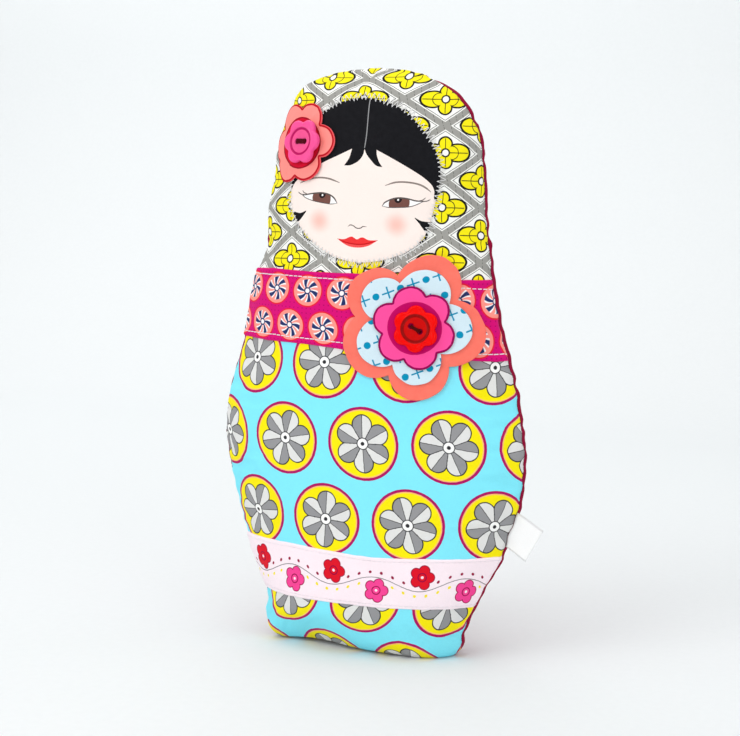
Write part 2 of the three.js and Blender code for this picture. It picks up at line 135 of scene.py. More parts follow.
def noise2(x, y, seed=0.0):
    i, j = np.floor(x), np.floor(y)
    f, g = x - i, y - j
    f, g = f * f * (3 - 2 * f), g * g * (3 - 2 * g)
    a = hash01(i, j, seed) * (1 - f) + hash01(i + 1, j, seed) * f
    b = hash01(i, j + 1, seed) * (1 - f) + hash01(i + 1, j + 1, seed) * f
    return 2 * (a * (1 - g) + b * g) - 1


# ---------------------------------------------------------------- the bag as two grids, front and back, joined along the seam
def profile_rows(step):
    q = np.linspace(0, 1, 6001)
    z = HEIGHT * (1 - (1 - q) ** 3)
    w, d = half_width(z), half_depth(z)
    run = np.r_[0, np.cumsum(np.sqrt(np.diff(w) ** 2 + np.diff(z) ** 2 + 0.3 * np.diff(d) ** 2))]
    n = int(round(run[-1] / step))
    return np.interp(np.linspace(0, run[-1], n + 1), run, z)


BASE_ROWS = 8
COLS = 60
Z_SIDE = profile_rows(3.0)
ROW_Q = np.r_[np.linspace(-1, 0, BASE_ROWS + 1)[:-1], np.zeros(len(Z_SIDE))]
ROW_Z = np.r_[np.zeros(BASE_ROWS), Z_SIDE]


def refine(a):
    return np.interp(np.arange(0, len(a) - 0.75, 0.5), np.arange(len(a)), a)


def bag_grid(row_q, row_z, cols, side):
    """Points of one panel: rows from the seam line under the base, out to the rim, then up to the crown; columns from the left seam to the right one."""
    u = np.linspace(0, 1, cols + 1)[None, :]
    z = row_z[:, None]
    a_s = seam_angle(z)
    if side < 0:
        a = -PI - a_s + u * (PI + 2 * a_s)
    else:
        a = PI - a_s - u * (PI - 2 * a_s)
    x, y = half_width(z) * np.cos(a), half_depth(z) * np.sin(a)
    d0 = half_depth(0.0)
    y0 = S_KNOTS[0][1]
    xs = x * math.sqrt(1 - (y0 / d0) ** 2)
    under = row_q[:, None] < 0
    k = row_q[:, None] + 1
    x = np.where(under, xs + (x - xs) * k, x)
    y = np.where(under, y0 + (y - y0) * k, y)
    return np.stack([x, y, np.broadcast_to(z, x.shape)], axis=-1)


def grid_normals(p, side):
    du = np.gradient(p, axis=1)
    dv = np.gradient(p, axis=0)
    du[-1] = du[-2]
    n = np.cross(du, dv) * (-side)
    return n / np.maximum(np.linalg.norm(n, axis=-1, keepdims=True), 1e-9)


def upsample(a):
    for axis in (0, 1):
        a = np.moveaxis(a, axis, 0)
        p = np.concatenate([a[:1], a, a[-1:]])
        mid = (9 * (p[1:-2] + p[2:-1]) - p[:-3] - p[3:]) / 16
        out = np.empty((2 * len(a) - 1,) + a.shape[1:])
        out[0::2], out[1::2] = a, mid
        a = np.moveaxis(out, 0, axis)
    return a


def blur(a, passes):
    for _ in range(passes):
        for axis in (0, 1):
            b = np.moveaxis(a, axis, 0)
            p = np.concatenate([b[:1], b, b[-1:]])
            a = np.moveaxis(0.25 * p[:-2] + 0.5 * p[1:-1] + 0.25 * p[2:], 0, axis)
    return a


def weld(front, back):
    """One closed bag from the two grids: the seam columns, the seam row under the base and the crown are shared."""
    r, c = front.shape[:2]
    fi = np.arange(r * c).reshape(r, c)
    bi = np.full((r, c), -1)
    bi[:, 0], bi[:, -1], bi[0] = fi[:, 0], fi[:, -1], fi[0]
    fi[-1] = fi[-1, 0]
    bi[-1] = fi[-1, 0]
    n = r * c
    free = np.argwhere(bi < 0)
    for k, (i, j) in enumerate(free):
        bi[i, j] = n + k
    pts = np.concatenate([front.reshape(-1, 3), back[free[:, 0], free[:, 1]]])
    faces = []
    for g, flip in ((fi, False), (bi, True)):
        for i in range(r - 1):
            for j in range(c - 1):
                q = [g[i, j], g[i, j + 1], g[i + 1, j + 1], g[i + 1, j]]
                if i == r - 2:
                    q = q[:3]
                faces.append([int(v) for v in (q[::-1] if flip else q)])
    return pts, faces, fi, bi


def stuff(front, back):
    """Fills the sewn bag: a pressure simulation of the cloth, with spare cloth gathered near the seams, held loosely to the pattern's shape."""
    pts, faces, fi, bi = weld(front, back)
    used = np.unique(np.concatenate([np.array(f) for f in faces]))
    place = np.full(len(pts), -1)
    place[used] = np.arange(len(used))
    me = bpy.data.meshes.new("bag")
    me.from_pydata((pts[used] * 0.01).tolist(), [], [[int(place[v]) for v in f] for f in faces])
    ob = bpy.data.objects.new("bag", me)
    bpy.context.scene.collection.objects.link(ob)
    seam = np.zeros(len(pts))
    rows, cols = front.shape[:2]
    near = np.exp(-((np.minimum(np.arange(cols), cols - 1 - np.arange(cols)) / 5.0) ** 2))[None, :] * np.ones((rows, 1))
    for g in (fi, bi):
        seam[g] = np.maximum(seam[g], near)
    z, p = pts[:, 2], pts
    on_seam = np.zeros(len(pts), bool)
    on_seam[fi[:, 0]] = on_seam[fi[:, -1]] = True
    hold = np.where(z < 0.5, 0.9, 0.10)
    hold = np.where(on_seam, np.maximum(hold, 0.55), hold)
    spare = seam * smooth(2, 12, z)
    groups = {"hold": hold, "spare": spare}
    for name, weight in groups.items():
        vg = ob.vertex_groups.new(name=name)
        for k, v in enumerate(used):
            vg.add([k], float(weight[v]), "REPLACE")
    mod = ob.modifiers.new("cloth", "CLOTH")
    s = mod.settings
    s.quality = 7
    s.mass = 0.25
    s.tension_stiffness = s.compression_stiffness = 25
    s.shear_stiffness = 12
    s.bending_stiffness = 0.4
    s.tension_damping = s.compression_damping = s.shear_damping = 10
    s.air_damping = 2.0
    s.vertex_group_mass = "hold"
    s.pin_stiffness = 1.2
    s.use_pressure = True
    s.uniform_pressure_force = 2.2
    s.shrink_min = 0.0
    s.shrink_max = -0.09
    s.vertex_group_shrink = "spare"
    s.effector_weights.gravity = 0.0
    mod.collision_settings.use_collision = False
    scene = bpy.context.scene
    mod.point_cache.frame_start, mod.point_cache.frame_end = 1, 40
    for f in range(1, 31):
        scene.frame_set(f)
    dg = bpy.context.evaluated_depsgraph_get()
    ev = ob.evaluated_get(dg).to_mesh()
    out = np.empty(len(used) * 3)
    ev.vertices.foreach_get("co", out)
    out = out.reshape(-1, 3) * 100
    scene.frame_set(1)
    bpy.data.objects.remove(ob)
    moved = np.zeros_like(pts)
    moved[used] = out - pts[used]
    print("cloth: largest move", np.abs(moved).max(), "mean", np.linalg.norm(moved, axis=1).mean(), round(time.time() - T0, 1), "s")
    return moved[fi], moved[bi]


F0, B0 = bag_grid(ROW_Q, ROW_Z, COLS, -1), bag_grid(ROW_Q, ROW_Z, COLS, 1)
mf, mb = stuff(F0, B0)
# the outline stays as it was cut: only what the simulation changed at the scale of gathers and dimples is kept in full
mf, mb = mf - 0.85 * blur(mf, 30), mb - 0.85 * blur(mb, 30)
for m, g, side in ((mf, F0, -1), (mb, B0, 1)):
    n0 = grid_normals(g, side)
    m += 0.75 * ((m * n0).sum(axis=-1, keepdims=True) * n0 - m)
    m *= 0.3 + 0.7 * smooth(2.0, 18.0, g[..., 2:3])
seam_mean = {c: 0.5 * (mf[:, c] + mb[:, c]) for c in (0, -1)}
for c in (0, -1):
    mf[:, c] = mb[:, c] = seam_mean[c]
cap = 2.6
for m in (mf, mb):
    length = np.linalg.norm(m, axis=-1, keepdims=True)
    m *= np.minimum(1, cap / np.maximum(length, 1e-9))
    m[: BASE_ROWS + 1, :, 2] = 0
top = 0.5 * (mf[-1].mean(axis=0) + mb[-1].mean(axis=0))
mf[-1] = mb[-1] = top

FQ, FZ, FC = refine(ROW_Q), refine(ROW_Z), COLS * 2
NB = BASE_ROWS * 2
ROWS = len(FZ)


def finish_panel(side, moved):
    p = bag_grid(FQ, FZ, FC, side)
    flat = p.copy()
    n = grid_normals(p, side)
    p = p + upsample(moved)
    z = np.broadcast_to(FZ[:, None], p.shape[:2])
    # distance from the nearest side seam, along the cloth
    step = np.linalg.norm(np.diff(flat, axis=1), axis=-1)
    run = np.concatenate([np.zeros((ROWS, 1)), np.cumsum(step, axis=1)], axis=1)
    e_left, e_right = run, run[:, -1:] - run
    along = np.r_[0, np.cumsum(np.linalg.norm(np.diff(flat[:, 0], axis=0), axis=-1))][:, None]
    live = smooth(1.0, 10.0, z) * smooth(0.0, 0.25, half_width(z) / 56)
    push = np.zeros(p.shape[:2])
    for e, seed, tight in ((e_left, 3.0, 0.36), (e_right, 8.0, 0.62)):
        wave = noise1(along / 4.6, seed) * 0.62 + 0.38 * np.sin(along / 9.6 * 2 * PI + 2.2 * noise1(along / 31.0, seed + 1))
        reach = 6.0 + 4.0 * (0.5 + 0.5 * noise1(along / 12.0, seed + 2))
        push += tight * wave * np.exp(-((e / reach) ** 1.5))
        push -= 0.95 * np.exp(-((e / 1.25) ** 2)) - 0.35 * np.exp(-(((e - 3.0) / 2.2) ** 2))
    # soft unevenness of the filling
    x, y = flat[..., 0], flat[..., 2]
    push += 0.42 * noise2(x / 27 + 5, y / 24, 1.0 + side) + 0.22 * noise2(x / 12 + 9, y / 13, 4.0 + side)
    push *= live
    # the seam under the base is drawn up a little
    under = (FQ[:, None] < 0)
    lift = 1.1 * np.exp(-(((FQ[:, None] + 1) * 20 / 1.6) ** 2)) * np.ones_like(push)
    p = p + n * np.where(under, 0, push)[..., None]
    p[..., 2] = np.where(under, np.maximum(p[..., 2], 0) + lift, np.maximum(p[..., 2], 0.0))
    # the filling does not reach the base evenly: on the left the cloth turns under earlier and stands off the floor; the crown is a little flat
    low = 1 - smooth(0.0, 24.0, z)
    thin = np.interp(x, [-56, -48, -40, -28, -16, -5, 6, 16, 24, 31, 40], [0, 0.18, 0.4, 0.45, 0.4, 0.27, 0.17, 0.1, 0.08, 0.02, 0])
    if side < 0:
        ys = seam_y(z)
        p[..., 1] = ys + (p[..., 1] - ys) * (1 - thin * low)
    p[..., 2] += low * np.interp(x, [-50, -44, -36, -27, -16, -5, 5, 16, 24, 31, 38], [0, 0.7, 1.9, 2.6, 2.4, 1.8, 1.4, 1.1, 0.8, 0.2, 0])
    k = np.clip(x / np.maximum(half_width(z), 1.0), -1, 1)
    out = np.where(k < 0, -np.interp(z, *np.transpose(LEFT_OUT)), np.interp(z, *np.transpose(RIGHT_OUT)))
    p[..., 0] += out * k ** 4
    p[..., 2] -= 0.7 * smooth(284.0, 300.0, z)
    p[..., 0] += centre_line(np.broadcast_to(FZ[:, None], p.shape[:2]))
    # nothing lies under the floor, and the base seam is drawn up at its two ends
    drawn = np.where(under, 0.75 * np.exp(-((np.minimum(e_left, e_right) / 1.5) ** 2)), 0)
    p[..., 2] = np.maximum(p[..., 2], 0.12 + drawn)
    return p, flat


FP, FFLAT = finish_panel(-1, mf)
BP, BFLAT = finish_panel(1, mb)
for c in (0, -1):
    FP[:, c] = BP[:, c] = 0.5 * (FP[:, c] + BP[:, c])
FP[0] = BP[0] = 0.5 * (FP[0] + BP[0])
FP[-1] = BP[-1] = 0.5 * (FP[-1].mean(axis=0) + BP[-1].mean(axis=0))
FN, BN = grid_normals(FP, -1), grid_normals(BP, 1)
FN[-1] = BN[-1] = np.array([0, 0, 1.0])

GX, GW = np.polynomial.legendre.leggauss(10)


def arc(theta, w, t):
    half = 0.5 * theta
    total = 0
    for x, g in zip(GX, GW):
        q = half * (1 + x)
        total = total + g * np.sqrt((w * np.cos(q)) ** 2 + (t * np.sin(q)) ** 2)
    return half * total


def theta_of(s, z):
    w, t = half_width(z), half_depth(z)
    th = np.clip(s / w, -1.5, 1.5)
    for _ in range(8):
        th = th - (arc(th, w, t) - s) / np.sqrt((w * np.cos(th)) ** 2 + (t * np.sin(th)) ** 2)
        th = np.clip(th, -1.9, 1.9)
    return th


def seam_s(z):
    """Length of the cloth from the middle line to the side seam at height z."""
    return arc(0.5 * PI + seam_angle(z), half_width(z), half_depth(z))


def cell(s, z):
    th = theta_of(s, z)
    a_s = seam_angle(z)
    u = (th + 0.5 * PI + a_s) / (PI + 2 * a_s)
    col = np.clip(u * FC, 0, FC)
    row = NB + np.interp(z, FZ[NB:], np.arange(ROWS - NB))
    return row, col


def lookup(g, row, col):
    i, j = np.clip(np.floor(row).astype(int), 0, ROWS - 2), np.clip(np.floor(col).astype(int), 0, FC - 1)
    f, h = (row - i)[..., None], (col - j)[..., None]
    return (g[i, j] * (1 - f) + g[i + 1, j] * f) * (1 - h) + (g[i, j + 1] * (1 - f) + g[i + 1, j + 1] * f) * h


def on_front(s, z, d):
    """The point at flat place (s, z) of the front, d above the cloth."""
    s, z, d = np.broadcast_arrays(np.asarray(s, float), np.asarray(z, float), np.asarray(d, float))
    row, col = cell(s, z)
    n = lookup(FN, row, col)
    n = n / np.linalg.norm(n, axis=-1, keepdims=True)
    return lookup(FP, row, col) + n * d[..., None], n


# ---------------------------------------------------------------- shader graphs
def lin(*c):
    return tuple((v / 255 / 12.92 if v / 255 <= 0.04045 else ((v / 255 + 0.055) / 1.055) ** 2.4) for v in c) + (1.0,)


class Val:
    """A number in a shader graph, with the usual operators."""

    def __init__(self, g, sock):
        self.g, self.sock = g, sock

    def __add__(self, o): return self.g.m("ADD", self, o)
    def __radd__(self, o): return self.g.m("ADD", o, self)
    def __sub__(self, o): return self.g.m("SUBTRACT", self, o)
    def __rsub__(self, o): return self.g.m("SUBTRACT", o, self)
    def __mul__(self, o): return self.g.m("MULTIPLY", self, o)
    def __rmul__(self, o): return self.g.m("MULTIPLY", o, self)
    def __truediv__(self, o): return self.g.m("DIVIDE", self, o)
    def __rtruediv__(self, o): return self.g.m("DIVIDE", o, self)


class Graph:
    def __init__(self, name):
        self.mat = bpy.data.materials.new(name)
        self.mat.use_nodes = True
        self.t = self.mat.node_tree
        self.bsdf = next(n for n in self.t.nodes if n.type == "BSDF_PRINCIPLED")

    def node(self, kind):
        return self.t.nodes.new(kind)

    def put(self, sock, v):
        if isinstance(v, Val):
            self.t.links.new(v.sock, sock)
        elif hasattr(v, "is_output"):
            self.t.links.new(v, sock)
        else:
            sock.default_value = v

    def m(self, op, a, b=None, c=None):
        n = self.node("ShaderNodeMath")
        n.operation = op
        for i, v in enumerate((a, b, c)):
            if v is not None:
                self.put(n.inputs[i], v)
        return Val(self, n.outputs[0])

    def flat(self, layer="flat"):
        n = self.node("ShaderNodeUVMap")
        n.uv_map = layer
        s = self.node("ShaderNodeSeparateXYZ")
        self.t.links.new(n.outputs[0], s.inputs[0])
        return Val(self, s.outputs[0]), Val(self, s.outputs[1])

    def point(self, x, y, z=0.0):
        n = self.node("ShaderNodeCombineXYZ")
        for i, v in enumerate((x, y, z)):
            self.put(n.inputs[i], v)
        return n.outputs[0]

    def noise(self, vec, scale, detail=2.0, rough=0.5):
        n = self.node("ShaderNodeTexNoise")
        self.t.links.new(vec, n.inputs["Vector"])
        n.inputs["Scale"].default_value = scale
        n.inputs["Detail"].default_value = detail
        n.inputs["Roughness"].default_value = rough
        return Val(self, n.outputs["Fac"])

    def mix(self, fac, a, b, kind="MIX"):
        n = self.node("ShaderNodeMix")
        n.data_type = "RGBA"
        n.blend_type = kind
        self.put(n.inputs[0], fac)
        self.put(n.inputs[6], a)
        self.put(n.inputs[7], b)
        return n.outputs[2]

    def below(self, d, edge, soft=0.12):
        """1 where d is below edge, with a soft border."""
        n = self.node("ShaderNodeMapRange")
        n.interpolation_type = "SMOOTHSTEP"
        self.put(n.inputs[0], d)
        for i, v in ((1, edge - soft), (2, edge + soft), (3, 1.0), (4, 0.0)):
            self.put(n.inputs[i], v)
        return Val(self, n.outputs[0])

    def above(self, d, edge, soft=0.12):
        n = self.node("ShaderNodeMapRange")
        n.interpolation_type = "SMOOTHSTEP"
        self.put(n.inputs[0], d)
        for i, v in ((1, edge - soft), (2, edge + soft), (3, 0.0), (4, 1.0)):
            self.put(n.inputs[i], v)
        return Val(self, n.outputs[0])

    def floor(self, a): return self.m("FLOOR", a)
    def abs(self, a): return self.m("ABSOLUTE", a)
    def sin(self, a): return self.m("SINE", a)
    def cos(self, a): return self.m("COSINE", a)
    def sqrt(self, a): return self.m("SQRT", a)
    def min(self, a, b): return self.m("MINIMUM", a, b)
    def max(self, a, b): return self.m("MAXIMUM", a, b)
    def atan2(self, a, b): return self.m("ARCTAN2", a, b)
    def pingpong(self, a, b): return self.m("PINGPONG", a, b)
    def mod(self, a, b): return self.m("FLOORED_MODULO", a, b)
    def length(self, x, y): return self.sqrt(x * x + y * y)


def cotton(name, design, rough=0.9, weave=0.42, bump=1.0, sheen=0.05, vary=0.05):
    """A printed cotton: design(g, s, h) gives the print's colour at a flat place in millimetres; the weave and small unevenness are added here."""
    g = Graph(name)
    s, h = g.flat()
    where = g.point(s, h)
    wob = g.noise(where, 0.55, 2.0)
    s2, h2 = s + (wob - 0.5) * 0.35, h + (g.noise(where, 0.47, 2.0) - 0.5) * 0.35
    colour = design(g, s2, h2)
    warp, weft = g.sin(s * (2 * PI / weave)), g.sin(h * (2 * PI / weave))
    cross = warp * weft
    slub = g.noise(g.point(s * 0.35, h * 4.0), 1.0, 3.0) + g.noise(g.point(s * 4.0, h * 0.35), 1.0, 3.0)
    blotch = g.noise(where, 0.08, 3.0)
    tone = (slub - 1.0) * (vary * 1.6) + (blotch - 0.5) * vary * 1.5 + cross * (vary * 0.6) + 1.0
    tint = g.node("ShaderNodeCombineColor")
    for i in range(3):
        g.put(tint.inputs[i], tone)
    g.put(g.bsdf.inputs["Base Color"], g.mix(1.0, colour, tint.outputs[0], "MULTIPLY"))
    g.bsdf.inputs["Roughness"].default_value = rough
    g.bsdf.inputs["Specular IOR Level"].default_value = 0.12
    g.bsdf.inputs["Sheen Weight"].default_value = sheen
    g.bsdf.inputs["Sheen Roughness"].default_value = 0.45
    b = g.node("ShaderNodeBump")
    b.inputs["Strength"].default_value = 0.55
    b.inputs["Distance"].default_value = 0.00012 * bump
    height = cross * 0.35 + slub * 0.6 + g.noise(where, 0.9, 3.0) * 0.8
    g.put(b.inputs["Height"], height)
    g.t.links.new(b.outputs[0], g.bsdf.inputs["Normal"])
    return g.mat


def plain(*rgb):
    return lambda g, s, h: g.mix(g.noise(g.point(s, h), 0.35, 3.0), lin(*[max(0, v - 8) for v in rgb]), lin(*[min(255, v + 6) for v in rgb]))


def lattice(g, s, h, px, pz, x0=0.0, z0=0.0, drop=0.5):
    """Place inside a staggered repeat: local x and z, and the row and column numbers."""
    q = (h - z0) / pz + 0.5
    row = g.floor(q)
    lz = (q - row - 0.5) * pz
    x = (s - x0) / px + 0.5 - g.mod(row, 2.0) * drop
    col = g.floor(x)
    return (x - col - 0.5) * px, lz, row, col


def body_print(g, s, h):
    aqua, yellow, ring, peach = lin(132, 234, 251), lin(250, 234, 12), lin(176, 16, 98), lin(255, 190, 120)
    light, mid, dark, white = lin(226, 226, 224), lin(150, 150, 152), lin(48, 48, 52), lin(250, 250, 248)
    x, z, row, col = lattice(g, s, h, 43.5, 40.0, 6.0, 31.0)
    r = g.length(x, z)
    ang = g.atan2(z, x) + (row * 1.3 + col * 0.7)
    b = g.pingpong(ang, PI / 6)
    fx, fy = r * g.cos(b), r * g.sin(b)
    lobe = g.length(fx - 9.5, fy) - 4.95
    petal = g.min(lobe, r - 6.6)
    half = g.mod(ang, PI / 3)
    side = g.below(half, PI / 6, 0.02)
    c = g.mix(g.below(r, 18.6), aqua, ring)
    c = g.mix(g.below(r, 17.2), c, peach)
    c = g.mix(g.below(r, 16.6), c, yellow)
    c = g.mix(g.below(petal, 0.40), c, dark)
    grey = g.mix(side, light, mid)
    c = g.mix(g.below(petal, -0.20), c, grey)
    inside = g.below(petal, 0.0)
    c = g.mix(g.below(fy, 0.16, 0.08) * inside * g.above(r, 3.0), c, dark)
    c = g.mix(g.below((PI / 6 - b) * r, 0.2, 0.08) * inside, c, dark)
    c = g.mix(g.below(r, 3.1), c, dark)
    c = g.mix(g.below(r, 2.6), c, white)
    c = g.mix(g.below(r, 1.0), c, dark)
    return c


def head_print(g, s, h):
    white, grey, yellow, dark = lin(246, 246, 242), lin(158, 157, 152), lin(248, 234, 22), lin(26, 26, 26)
    p, q = s / 41.0 + h / 27.0, s / 41.0 - h / 27.0
    ip, iq = g.floor(p), g.floor(q)
    fp, fq = p - ip - 0.5, q - iq - 0.5
    lx, lz = (fp + fq) * 20.5, (fp - fq) * 13.5
    edge = 0.5 - g.max(g.abs(fp), g.abs(fq))
    c = g.mix(g.below(edge * 22.0, 1.55), white, grey)
    c = g.mix(g.below(g.abs(edge * 22.0 - 2.25), 0.14, 0.07), c, dark)
    # a yellow flower of four broad petals in every diamond, outlined in black
    ax, az = g.abs(lx), g.abs(lz)
    side = g.length((ax - 6.3) * 0.68, az) - 4.2
    top = g.length(ax, az - 4.5) - 3.2
    flower = g.min(side, top)
    c = g.mix(g.below(flower, 0.55), c, dark)
    c = g.mix(g.below(flower, -0.30), c, yellow)
    vein = g.below(az, 0.22, 0.07) * g.below(side, -0.6) + g.below(ax, 0.2, 0.07) * g.below(top, -0.6)
    c = g.mix(vein, c, dark)
    arcs = g.below(g.abs(g.length(ax - 3.2, az) - 3.3), 0.2, 0.07) * g.below(side, -0.3)
    c = g.mix(arcs, c, dark)
    r = g.length(lx, lz)
    c = g.mix(g.below(r, 2.3), c, dark)
    c = g.mix(g.below(r, 1.55), c, white)
    tick = g.below(g.abs(g.mod(s * 0.9 + h * 0.2, 3.4) - 1.7), 0.12, 0.06) * g.below(g.abs(edge * 22.0 - 0.8), 0.5, 0.1)
    c = g.mix(tick, c, lin(90, 90, 88))
    return c


def sash_print(g, s, h):
    ground, deep, coral, red = lin(214, 8, 118), lin(170, 0, 92), lin(255, 150, 138), lin(228, 28, 60)
    navy, white = lin(38, 52, 104), lin(250, 244, 246)
    x, z, row, col = lattice(g, s, h, 19.6, 18.6, 3.0, 9.4)
    r = g.length(x * 0.98, z)
    ang = g.atan2(z, x)
    c = g.mix(g.below(g.abs(g.mod(s, 2.5) - 1.25), 0.3) * g.below(g.abs(g.mod(h, 2.5) - 1.25), 0.3), ground, deep)
    c = g.mix(g.below(r, 8.7), c, red)
    c = g.mix(g.below(r, 7.9), c, coral)
    swirl = g.sin(ang * 6.0 + r * 0.42 + row)
    blade = g.above(swirl, 0.0, 0.12)
    c = g.mix(g.below(r, 6.1) * g.above(swirl, -0.62, 0.12), c, white)
    c = g.mix(g.below(r, 6.1) * g.above(swirl, 0.25, 0.12), c, navy)
    c = g.mix(g.below(r, 1.9), c, navy)
    c = g.mix(g.below(r, 1.2), c, white)
    return c


def hem_print(g, s, h):
    pale, pink, red, deep = lin(252, 236, 243), lin(246, 70, 150), lin(222, 18, 40), lin(150, 0, 60)
    yellow, grey = lin(246, 228, 40), lin(120, 118, 120)
    x, z, row, col = lattice(g, s, h, 46.0, 60.0, 12.0, 9.0)
    x2, z2, row2, col2 = lattice(g, s, h, 46.0, 60.0, -11.0, 16.5)
    c = pale
    # thin curving stem with paired dots
    stem = g.sin((s + 1.0) * (2 * PI / 46.0)) * 3.2 + 12.6
    c = g.mix(g.below(g.abs(h - stem), 0.2, 0.08), c, grey)
    bx = g.mod(s, 5.75) - 2.875
    for off, col_ in ((2.6, deep), (-2.6, yellow)):
        c = g.mix(g.below(g.length(bx, h - stem - off), 0.75), c, col_)
    for (lx, lz, tone) in ((x, z, pink), (x2, z2, red)):
        r = g.length(lx, lz)
        b = g.pingpong(g.atan2(lz, lx), PI / 5)
        lobe = g.min(g.length(r * g.cos(b) - 3.6, r * g.sin(b)) - 2.5, r - 3.4)
        c = g.mix(g.below(lobe, 0.35), c, deep)
        c = g.mix(g.below(lobe, -0.1), c, tone)
        c = g.mix(g.below(r, 2.3), c, deep)
        c = g.mix(g.below(r, 1.8), c, tone)
        c = g.mix(g.below(r, 0.7), c, lin(255, 230, 240))
    return c


HAIR_PETALS = [(1, 12.0, 8.3), (66, 12.9, 7.9), (122, 12.9, 8.6), (-172, 11.5, 9.0), (-126, 15.4, 8.0), (-73, 11.0, 9.2)]
CORAL_PETALS = [(-6.5, 17.7, 16.5), (76, 20.8, 16.1), (142.5, 24.6, 14.3), (-156, 21.4, 16.4), (-84, 20.6, 15.0)]
BLUE_PETALS = [(0, 14.8, 12.5), (78, 16.2, 13.1), (139, 20.6, 10.9), (-155, 18.1, 12.0), (-86, 15.9, 12.0)]
PINK_PETALS = [(46, 11.7, 8.4), (102, 12.3, 8.5), (162, 12.3, 8.5), (-138, 12.3, 8.5), (-78, 12.3, 8.5), (-20, 11.2, 8.4)]


def blue_print(g, s, h):
    pale, teal = lin(210, 231, 241), lin(0, 142, 182)
    x, z = s * 0.93 + h * 0.37, h * 0.93 - s * 0.37
    a, b, row, col = lattice(g, x, z, 12.5, 10.5)
    c = g.mix(g.below(g.length(a, b), 1.75), pale, teal)
    e, f, _r, _c = lattice(g, x, z, 12.5, 10.5, 6.25, 0.0)
    plus = g.max(g.below(g.abs(e), 0.40, 0.1) * g.below(g.abs(f), 3.1), g.below(g.abs(f), 0.40, 0.1) * g.below(g.abs(e), 3.1))
    c = g.mix(plus, c, teal)
    return c


def pink_print(g, s, h):
    pink, deep, circle = lin(249, 78, 156), lin(146, 0, 82), lin(188, 0, 98)
    e, _f = g.flat("edge")
    c = g.mix(g.above(e + (g.noise(g.point(s, h), 0.5, 2.0) - 0.5) * 0.5, 1.05), deep, pink)
    c = g.mix(g.below(g.length(s, h), 13.0), c, circle)
    return c


def hair_flower_print(g, s, h):
    coral, margin, line, deep, crimson = lin(255, 146, 138), lin(244, 96, 100), lin(186, 12, 32), lin(160, 4, 36), lin(214, 8, 48)
    e, _f = g.flat("edge")
    # the printed line follows the cut edge, a little farther in on one side
    e = e - s * 0.010 + (g.noise(g.point(s, h), 0.4, 2.0) - 0.5) * 0.3
    c = g.mix(g.above(e, 0.16), margin, line)
    c = g.mix(g.above(e, 1.16), c, coral)
    # a crimson disc, a little narrow, with a darker rim
    disc = g.length((s + 0.4) * 1.03, h + 0.5)
    c = g.mix(g.below(disc, 13.2), c, deep)
    c = g.mix(g.below(disc, 12.4), c, crimson)
    return c


def skin_print(g, s, h):
    skin, rose = lin(249, 235, 228), lin(253, 194, 182)
    spots = None
    for x, z in ((-22.3, 221.8), (18.4, 220.5)):
        k = g.below(g.length(s - x, (h - z) * 1.02), 4.0, 4.0)
        spots = k if spots is None else g.max(spots, k)
    return g.mix(spots * 0.95, skin, rose)


def thread(name, rgb, pitch=0.75, rough=0.6, sheen=0.1, deep=0.9, spec=0.3):
    g = Graph(name)
    along, around = g.flat()
    ply = g.sin((along / pitch + around * 2.0) * (2 * PI))
    fuzz = g.noise(g.point(along * 3.0, around * 6.0), 1.0, 3.0)
    # the twist's grooves are painted darker towards deep: painted shade, with random fuzz over it
    c = g.mix(ply * 0.25 + fuzz * 0.5 + 0.1, lin(*[int(v * deep) for v in rgb]), lin(*rgb))
    g.put(g.bsdf.inputs["Base Color"], c)
    g.bsdf.inputs["Roughness"].default_value = rough
    g.bsdf.inputs["Specular IOR Level"].default_value = spec
    g.bsdf.inputs["Sheen Weight"].default_value = sheen
    b = g.node("ShaderNodeBump")
    b.inputs["Strength"].default_value = 0.7
    b.inputs["Distance"].default_value = 0.0001
    g.put(b.inputs["Height"], ply * 0.6 + fuzz * 0.5)
    g.t.links.new(b.outputs[0], g.bsdf.inputs["Normal"])
    return g.mat


def plastic(name, rgb, deep, ring_r, ring_w, middle, spec):
    """Moulded plastic: the flat map carries the button's own x and y, so painted shade can darken the groove inside the
    raised ring and the dished middle.
    """
    g = Graph(name)
    x, y = g.flat()
    r = g.length(x, y)
    n = g.noise(g.point(x, y), 0.25, 3.0)
    c = g.mix(n, lin(*[int(v * 0.93) for v in rgb]), lin(*rgb))
    # painted shade: the dished middle takes the darker middle colour
    c = g.mix(g.below(r, ring_r), c, g.mix(n, lin(*[int(v * 0.9) for v in middle]), lin(*middle)))
    # painted shade: the groove inside the raised ring takes the dark deep colour
    c = g.mix(g.below(g.abs(r - ring_r), ring_w, 0.25), c, lin(*deep))
    g.put(g.bsdf.inputs["Base Color"], c)
    g.put(g.bsdf.inputs["Roughness"], n * 0.10 + 0.13)
    g.bsdf.inputs["Specular IOR Level"].default_value = spec
    g.bsdf.inputs["Coat Weight"].default_value = 0.03
    g.bsdf.inputs["Coat Roughness"].default_value = 0.05
    b = g.node("ShaderNodeBump")
    b.inputs["Strength"].default_value = 0.15
    b.inputs["Distance"].default_value = 0.0002
    g.put(b.inputs["Height"], g.noise(g.point(x, y), 0.6, 2.0))
    g.t.links.new(b.outputs[0], g.bsdf.inputs["Normal"])
    return g.mat


